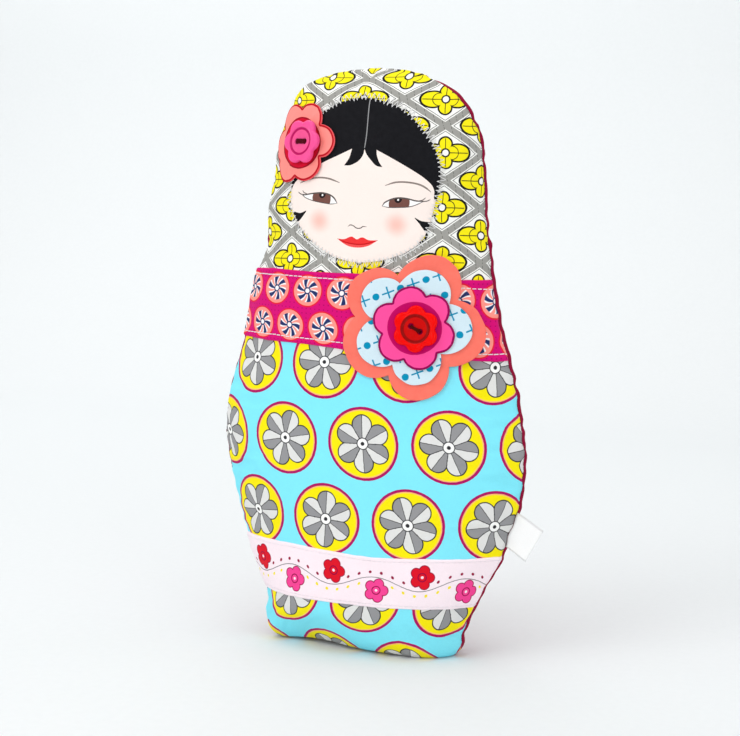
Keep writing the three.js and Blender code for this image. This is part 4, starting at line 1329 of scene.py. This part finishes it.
def flower(name, s0, z0, petals, under, thick, curl, mat, slot, node, seed, rests):
    """A cut cloth flower: closed, with a cut edge, lying on what is under it, its petals' ends lifting a little."""
    count = 240
    beta = np.arange(count) * 2 * PI / count
    # a sample lies in every notch
    fine = np.linspace(0, 2 * PI, 7201)
    owner = petal_radius(fine, petals)[1]
    for a in fine[1:][np.diff(owner) != 0]:
        beta[int(round(a / (2 * PI) * count)) % count] = a
    beta = np.sort(np.mod(beta, 2 * PI))
    rho = np.array([0.08, 0.2, 0.33, 0.46, 0.58, 0.68, 0.76, 0.82, 0.87, 0.91, 0.935, 0.955, 0.975, 0.99, 1.0])
    R, pet = petal_radius(beta, petals)
    wave = 1 + 0.008 * noise1(beta * 6.0, seed)
    wave[:12] += (wave[-1] - wave[0]) * np.linspace(1, 0, 12)
    R = R * wave
    x = rho[:, None] * R[None, :] * np.cos(beta)
    y = rho[:, None] * R[None, :] * np.sin(beta)
    amount = curl * (0.75 + 0.5 * noise1(pet * 1.37, seed + 4))
    amount = np.convolve(np.r_[amount[-8:], amount, amount[:8]], np.ones(17) / 17, "valid")
    lift = amount[None, :] * rho[:, None] ** 4 * (R[None, :] / R.max()) ** 2 + 0.12 * rho[:, None] ** 2 * noise2(x / 7.0 + seed, y / 7.0, seed)
    s, z = s0 + x, z0 + y
    low = under(s, z) + lift
    rim = np.clip((1 - rho[:, None]) * R[None, :] / 0.5, 0, 1)
    high = low + thick * (0.72 + 0.28 * np.sqrt(rim))
    pt, _n = on_front(s, z, high)
    pb, _n = on_front(s, z, low)
    ct, _n = on_front(s0, z0, under(np.array(s0), np.array(z0)) + thick)
    cb, _n = on_front(s0, z0, under(np.array(s0), np.array(z0)))
    r, c = x.shape
    top, bot = np.arange(r * c).reshape(r, c), np.arange(r * c).reshape(r, c) + r * c
    v = np.concatenate([pt.reshape(-1, 3), pb.reshape(-1, 3), [ct, cb]])
    flat = np.stack([x, y], axis=-1).reshape(-1, 2)
    uv = np.concatenate([flat, flat, [[0, 0], [0, 0]]])
    inset = edge_distance(np.stack([x[-1], y[-1]], axis=1), np.concatenate([flat, [[0, 0]]]))
    inset = np.r_[inset[:-1], inset[:-1], inset[-1], inset[-1]]
    f = []
    nxt = np.roll(np.arange(c), -1)
    for j in range(c):
        q = nxt[j]
        f.append([2 * r * c, top[0, j], top[0, q]])
        f.append([2 * r * c + 1, bot[0, q], bot[0, j]])
        for i in range(r - 1):
            f.append([top[i, j], top[i + 1, j], top[i + 1, q], top[i, q]])
            f.append([bot[i, j], bot[i, q], bot[i + 1, q], bot[i + 1, j]])
        f.append([top[-1, j], bot[-1, j], bot[-1, q], top[-1, q]])
    ob = piece(name, v, f, mat, uv=uv, replaces=[node], sharp=45, edge=np.stack([inset, 0 * inset], axis=1))
    area = 0.5 * float(np.sum(x[-1] * np.roll(y[-1], -1) - np.roll(x[-1], -1) * y[-1]))
    return ob


def on_sash(s, z):
    e = np.minimum(z - band_z(SASH, 0.0, s), band_z(SASH, 1.0, s) - z)
    return smooth(-3.5, 0.5, e)


def in_oval(s, z):
    p = np.stack([np.ravel(s), np.ravel(z)], axis=1)
    e = edge_distance(OVAL, p) * np.where(inside(OVAL, p), 1, -1)
    return smooth(-4.0, -1.0, e).reshape(np.shape(s))


CX, CZ = 31.2, 169.6
under_1 = lambda s, z: 0.40 + 1.10 * np.maximum(on_sash(s, z), in_oval(s, z))
under_2 = lambda s, z: 0.40 + 1.10 * np.maximum(smooth(-9.0, 1.0, 18.0 - np.abs(z - 176.5 + 0.035 * s)), 0) + 1.25
under_3 = lambda s, z: under_2(s, z) + 0.95
chest_outer = flower("chest_flower_coral", CX, CZ, CORAL_PETALS, under_1, 1.0, 1.3, M_CORAL, "coral_cloth", "chest_flower_outer", 31.0, ["sash", "body_cloth", "face"])
chest_mid = flower("chest_flower_blue", CX, CZ, BLUE_PETALS, under_2, 0.7, 0.9, M_BLUE, "blue_print", "chest_flower_middle", 37.0, ["chest_flower_coral"])
chest_in = flower("chest_flower_pink", CX, CZ, PINK_PETALS, under_3, 0.7, 0.5, M_PINK, "pink_cloth", "chest_flower_inner", 43.0, ["chest_flower_blue"])
HX, HZ = -35.2, 261.4
under_h = lambda s, z: 0.45 + 1.05 * in_oval(s, z)
hair_flower = flower("hair_flower_coral", HX, HZ, HAIR_PETALS, under_h, 0.85, 0.35, M_HAIR_FLOWER, "hair_flower_cloth", "hair_flower", 53.0, ["head_cloth", "face"])


# ---------------------------------------------------------------- flower buttons
def button(name, pos, right, axis, turn, holes_turn, mat, node, body):
    """A moulded flower button: six puffed petals, a raised ring, a dished middle and two holes."""
    right, axis = np.array(right), np.array(axis)
    up = np.cross(axis, right)
    n, ring, lobe = 6, 7.0, 4.7
    beta = np.linspace(0, 2 * PI, 192, endpoint=False) + math.radians(turn)
    R = petal_radius(beta, [(turn + 360 * k / n, ring, lobe) for k in range(n)])[0]
    # the notches between the petals are rounded
    R = np.convolve(np.r_[R[-4:], R, R[:4]], np.array([1, 2, 3, 4, 5, 4, 3, 2, 1]) / 25, "valid")
    outline = np.stack([R * np.cos(beta), R * np.sin(beta)], axis=1)
    hx, hy = 2.6 * math.cos(math.radians(holes_turn)), 2.6 * math.sin(math.radians(holes_turn))
    holes = [ellipse(hx, hy, 1.4, 1.4, 28), ellipse(-hx, -hy, 1.4, 1.4, 28)]
    rings = [ellipse(0, 0, q, q, 72) for q in (7.6, 7.25, 6.9, 6.5, 6.1, 5.7)]
    offsets = [outline * k[None].T for k in (0.995 * np.ones(192), 0.98 * np.ones(192), 0.95 * np.ones(192), 0.91 * np.ones(192), 0.86 * np.ones(192), 0.8 * np.ones(192))]
    lips = [ellipse(sx * hx, sx * hy, 1.7, 1.7, 28) for sx in (1, -1)]
    pts, tris, _w = regions_mesh(outline, offsets + rings + lips, 0.62, holes)
    r = np.hypot(pts[:, 0], pts[:, 1])
    ed = edge_distance(outline, pts)
    rounding = np.clip(ed / 1.25, 0, 1)
    h = 1.15 + 1.4 * np.sqrt(np.maximum(0, 1 - (1 - rounding) ** 2))
    petals = np.cos(n * 0.5 * (np.arctan2(pts[:, 1], pts[:, 0]) - math.radians(turn))) ** 2
    h = h + 0.22 * petals * smooth(7.2, 9.0, r) * rounding - 0.18 * np.exp(-(((ed - 1.9) / 0.5) ** 2)) * smooth(7.4, 8.4, r)
    h = h + 0.30 * np.exp(-(((r - 7.55) / 0.42) ** 2)) * rounding - 0.55 * np.exp(-(((r - 6.5) / 0.72) ** 2))
    h = h - 0.3 * smooth(6.3, 5.2, r) - 0.22 * smooth(5.6, 1.5, r)
    for sx in (1, -1):
        q = np.hypot(pts[:, 0] - sx * hx, pts[:, 1] - sx * hy)
        h = h - 0.28 * smooth(1.75, 1.35, q)
    base = 0.02 + 0.35 * (1 - np.clip(ed / 0.5, 0, 1)) ** 2
    place = lambda xy, hh: np.array(pos)[None] + xy[:, :1] * right + xy[:, 1:2] * up + np.asarray(hh)[:, None] * axis
    m = len(pts)
    v = np.concatenate([place(pts, h), place(pts, base)])
    f = list(tris) + [[k + m for k in t[::-1]] for t in tris]
    for a, b, _k in open_edges(tris):
        f.append([b, a, a + m, b + m])
    uv = np.concatenate([pts, pts])
    return piece(name, v, f, mat, body=body, uv=uv, replaces=[node], sharp=48)


CHEST_POS, CHEST_AXIS, CHEST_RIGHT = (31.656, -28.146, 169.628), (0.182201, -0.98078, 0.069804), (0.98323, 0.18266, 0.0)
HAIR_POS, HAIR_AXIS, HAIR_RIGHT = (-32.559, -21.077, 261.403), (-0.367172, -0.922106, 0.122091), (0.92906, -0.36994, 0.0)
chest_button = button("chest_flower_button", CHEST_POS, CHEST_RIGHT, CHEST_AXIS, 30, -30, M_RED, "chest_button", "chest_button")
hair_button = button("hair_flower_button", HAIR_POS, HAIR_RIGHT, HAIR_AXIS, 0, -1, M_PINK_PLASTIC, "hair_button", "hair_button")


def button_thread(name, pos, right, axis, holes_turn, mat, node, sink, strands, reach):
    """The thread that holds a two-hole button: strands over the bar between the holes, going down through both. It is
    fast in the cloth.
    """
    pos, right, axis = np.array(pos), np.array(right), np.array(axis)
    up = np.cross(axis, right)
    c, s = math.cos(math.radians(holes_turn)), math.sin(math.radians(holes_turn))
    e1, e2 = c * right + s * up, -s * right + c * up
    b = Bundle()
    for k in range(strands):
        off = (k - (strands - 1) / 2) * 0.74
        t = np.linspace(0, 1, 25)
        xs = np.interp(t, [0, 0.2, 0.3, 0.7, 0.8, 1], [-reach, -reach, 0.45 - reach, reach - 0.45, reach, reach])
        hs = np.interp(t, [0, 0.2, 0.3, 0.5, 0.7, 0.8, 1], [-sink, 1.5, 2.25, 2.62, 2.25, 1.5, -sink])
        for _ in range(2):
            xs[1:-1] = 0.25 * xs[:-2] + 0.5 * xs[1:-1] + 0.25 * xs[2:]
            hs[1:-1] = 0.25 * hs[:-2] + 0.5 * hs[1:-1] + 0.25 * hs[2:]
        w = off * (0.85 + 0.25 * np.sin(t * PI)) + 0.05 * np.sin(t * 9 + k * 2)
        hs = hs - 0.10 * abs(off)
        p = pos + xs[:, None] * e1 + w[:, None] * e2 + hs[:, None] * axis
        b.add(*tube(p, 0.4, np.tile(e2, (25, 1)), sides=8))
    v, f, uv = b.arrays()
    ob = piece(name, v, f, mat, body=None, uv=uv, replaces=[node])
    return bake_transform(ob)


button_thread("chest_button_threads", CHEST_POS, CHEST_RIGHT, CHEST_AXIS, -30, M_RED_THREAD, "chest_button_thread", 0.25, 2, 2.75)
button_thread("hair_button_threads", HAIR_POS, HAIR_RIGHT, HAIR_AXIS, -1, M_DARK_THREAD, "hair_button_thread", 0.25, 3, 3.15)


# ---------------------------------------------------------------- seams
def seam_point(k_row, side):
    """Places along a side seam, and the outward direction there."""
    col = 0 if side < 0 else -1
    i = np.clip(np.floor(k_row).astype(int), 0, ROWS - 2)
    f = (k_row - i)[:, None]
    p = FP[i, col] * (1 - f) + FP[i + 1, col] * f
    n = FN[i, col] + BN[i, col]
    n /= np.maximum(np.linalg.norm(n, axis=1, keepdims=True), 1e-9)
    return p, n


def dashes(path, normal, length, gap, radius, rise, b, jitter=0.0):
    run = np.r_[0, np.cumsum(np.linalg.norm(np.diff(path, axis=0), axis=1))]
    at, i = 0.3, 0
    while at + length < run[-1]:
        q = np.linspace(at, at + length, 5)
        p = np.stack([np.interp(q, run, path[:, k]) for k in range(3)], axis=1)
        n = np.stack([np.interp(q, run, normal[:, k]) for k in range(3)], axis=1)
        t = np.linspace(-1, 1, 5)
        p = p + n * (rise - radius * 2.0 * np.abs(t) ** 4)[:, None]
        b.add(*tube(p, radius, n, sides=5))
        at += length + gap
        i += 1


b = Bundle()
for side in (-1, 1):
    p, n = seam_point(np.linspace(NB + 6, ROWS - 1.2, 900), side)
    dashes(p, n, 2.0, 0.5, 0.17, 0.12, b)
v, f, uv = b.arrays()
piece("side_seam_stitches", v, f, M_SEAM_THREAD, uv=uv, replaces=["side_seam_thread"])

# the turning gap in the base, closed by hand with slanting stitches
b = Bundle()
mid = FC // 2
for x in np.arange(-26.0, 26.1, 3.2):
    j = int(round(np.interp(x, FP[0, :, 0], np.arange(FC + 1))))
    a, c0, e0 = FP[1, j], FP[0, j], BP[1, j]
    slant = np.array([0.7, 0, 0])
    p = np.stack([a - slant, 0.5 * (a + c0) - 0.5 * slant, c0, 0.5 * (c0 + e0) + 0.5 * slant, e0 + slant])
    q = np.linspace(0, 1, 9)
    p = np.stack([np.interp(q, np.linspace(0, 1, 5), p[:, k]) for k in range(3)], axis=1)
    p[:, 2] = np.maximum(p[:, 2] - 0.1, 0.25)
    b.add(*tube(p, 0.22, np.tile([0, 0, -1.0], (9, 1)), sides=6))
v, f, uv = b.arrays()
piece("closing_stitches", v, f, M_SEAM_THREAD, uv=uv, replaces=["closing_stitch"])

# the seam between the head and body panels, under the sash
b = Bundle()
s = np.linspace(-float(seam_s(np.array(YOKE_Z))) + 2, float(seam_s(np.array(YOKE_Z))) - 2, 700)
p, n = on_front(s, np.full_like(s, FZ[yoke_row]), 0.0)
dashes(p, n, 2.2, 0.4, 0.18, 0.05, b)
v, f, uv = b.arrays()
piece("yoke_stitches", v, f, M_WHITE_THREAD, uv=uv, replaces=["yoke_seam_thread"])


# ---------------------------------------------------------------- the label: a folded tape caught in the side seam
def label():
    a = math.radians(32)
    out, wide = np.array([math.cos(a), 0, -math.sin(a)]), np.array([math.sin(a), 0, math.cos(a)])
    seam_path, _n = seam_point(np.linspace(NB + 2, NB + (ROWS - NB) * 0.55, 1200), 1)
    root = np.array([np.interp(69.0, seam_path[:, 2], seam_path[:, 0]), float(seam_y(69.0)), 69.0])
    lx, lz = (seam_path - root) @ out, (seam_path - root) @ wide
    o = np.argsort(lz)
    ks = np.linspace(-9, 9, 19)
    start = np.interp(ks, lz[o], lx[o]) + 0.25
    # out along the upper layer, round the fold, back along the lower one
    q = np.linspace(0, 1, 15)
    ends = 13.9 - 0.075 * ks
    rows_u, rows_y = [], []
    for k in q:
        rows_u.append(("a", k)); rows_y.append(-1)
    path = []
    for k in q[:-1]:
        path.append((k, -0.42, 0))
    for t in np.linspace(-PI / 2, PI / 2, 7):
        path.append((1.0, 0.42 * math.sin(t), 0.42 * math.cos(t)))
    for k in q[::-1][1:]:
        path.append((k, 0.42, 0))
    v, uv = [], []
    for m, (k, y, bulge) in enumerate(path):
        for i, w in enumerate(ks):
            u = start[i] + (ends[i] - start[i]) * k + bulge
            bow = 0.35 * math.sin(k * PI) * (1 if y > 0 else -1) * (0.6 + 0.4 * math.cos(w / 5))
            sway = 0.7 * k * k * math.sin(w / 9 * 1.2 + 0.6)
            pinch = 0.35 + 0.65 * min(1, k * 4)
            yy = (y * pinch + bow * 0.5) + sway * 1.2
            v.append(root + out * u + wide * (w + 0.12 * math.sin(k * 5)) + np.array([0, yy, 0]))
            uv.append((m * 1.15, w))
    f = grid_faces(len(path), len(ks))
    ob = piece("label_tape_loop", v, f, M_TAPE, body=None, uv=uv, replaces=["label_loop"])
    mod = ob.modifiers.new("tape thickness", "SOLIDIFY")
    mod.thickness = 0.28 * MM
    mod.offset = 0
    # its ends are fast in the seam: how far they reach across from the hinge point
    hinge, across = np.array([74.3, -2.7, 68.0]), np.array([0.96043, 0, -0.27853])
    fast = max(float((np.array(v[i]) - hinge) @ across) for i in range(len(ks)))
    tuple((hinge + across * fast) * MM)
    tuple((hinge + across * (fast + 4.5)) * MM)
    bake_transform(ob)
    return ob


label()

# the area of each cloth panel, capped at its flat size
for ob, w, l, fill_area in ((head_cloth, 0.160, 0.142, None), (body_cloth, 0.192, 0.215, None), (back_cloth, 0.192, 0.350, None)):
    me = ob.data
    area = sum(p.area for p in me.polygons)
    min(area, w * l)


# ---------------------------------------------------------------- room, light, camera
def sweep():
    """A pale paper floor that runs up into a backdrop far behind."""
    prof = [(-14.0, 0.0), (-2.2, 0.0), (-0.4, 0.0), (0.4, 0.0), (0.9, 0.0)]
    for t in np.linspace(0, PI / 2, 16)[1:]:
        prof.append((0.9 + 0.5 * math.sin(t), 0.5 - 0.5 * math.cos(t)))
    prof += [(1.4, 1.2), (1.4, 2.4)]
    k = len(prof)
    v = [(x, y, z) for x in (-14.0, 14.0) for y, z in prof]
    f = [[i, i + k, i + k + 1, i + 1] for i in range(k - 1)]
    me = bpy.data.meshes.new("sweep")
    me.from_pydata(v, [], f)
    me.polygons.foreach_set("use_smooth", np.ones(len(me.polygons), bool))
    g = Graph("studio_paper")
    tex = g.node("ShaderNodeTexCoord")
    nz = g.noise(tex.outputs["Object"], 220.0, 3.0)
    g.put(g.bsdf.inputs["Base Color"], g.mix(nz, lin(232, 235, 236), lin(236, 239, 240)))
    g.bsdf.inputs["Roughness"].default_value = 0.9
    g.bsdf.inputs["Specular IOR Level"].default_value = 0.1
    me.materials.append(g.mat)
    ob = bpy.data.objects.new("studio_sweep", me)
    bpy.context.scene.collection.objects.link(ob)


sweep()
scene = bpy.context.scene
scene.view_settings.view_transform = "Standard"
world = bpy.data.worlds.new("studio")
world.use_nodes = True
bg = next(n for n in world.node_tree.nodes if n.type == "BACKGROUND")
bg.inputs[0].default_value = (1.0, 1.0, 1.0, 1.0)
bg.inputs[1].default_value = 0.7
scene.world = world


def area_light(name, at, to, size, power, colour=(1, 1, 1)):
    L = bpy.data.lights.new(name, "AREA")
    L.shape = "RECTANGLE"
    L.size, L.size_y = size
    L.energy = power
    L.color = colour
    ob = bpy.data.objects.new(name, L)
    ob.location = at
    ob.rotation_mode = "QUATERNION"
    ob.rotation_quaternion = (Vector(to) - Vector(at)).to_track_quat("-Z", "Y")
    scene.collection.objects.link(ob)


area_light("key", (-0.75, -1.15, 0.95), (0, 0, 0.14), (0.9, 0.9), 6.7)
area_light("fill", (0.8, -1.1, 0.4), (0, 0, 0.12), (1.0, 1.0), 3.4)
area_light("top", (0.0, -0.1, 1.4), (0, 0.05, 0.1), (1.2, 0.8), 4)
area_light("side", (0.95, 0.5, 0.6), (0.12, 0.0, 0.0), (0.7, 0.7), 0.7)
area_light("backdrop", (-0.85, 0.75, 1.35), (-0.85, 1.38, 0.2), (1.6, 0.5), 5.4)

cam = bpy.data.cameras.new("camera")
cam.sensor_fit = "HORIZONTAL"
cam.sensor_width = 36.0
cam.lens = 1500.0 / 740.0 * 36.0
cam.clip_start, cam.clip_end = 0.02, 20.0
cob = bpy.data.objects.new("camera", cam)
scene.collection.objects.link(cob)
az, el, roll, dist = math.radians(19.577), math.radians(5.129), math.radians(1.155), 0.7779
back = Vector((math.sin(az) * math.cos(el), -math.cos(az) * math.cos(el), math.sin(el)))
right = Vector((math.cos(az), math.sin(az), 0))
up = right.cross(-back)
r2 = right * math.cos(roll) + up * math.sin(roll)
u2 = up * math.cos(roll) - right * math.sin(roll)
at = Vector((-0.001873, 0, 0.146535)) + back * dist
m = Matrix((r2, u2, back)).transposed().to_4x4()
m.translation = at
cob.matrix_world = m
scene.camera = cob

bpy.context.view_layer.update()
print("scene ready after", round(time.time() - T0, 1), "s")
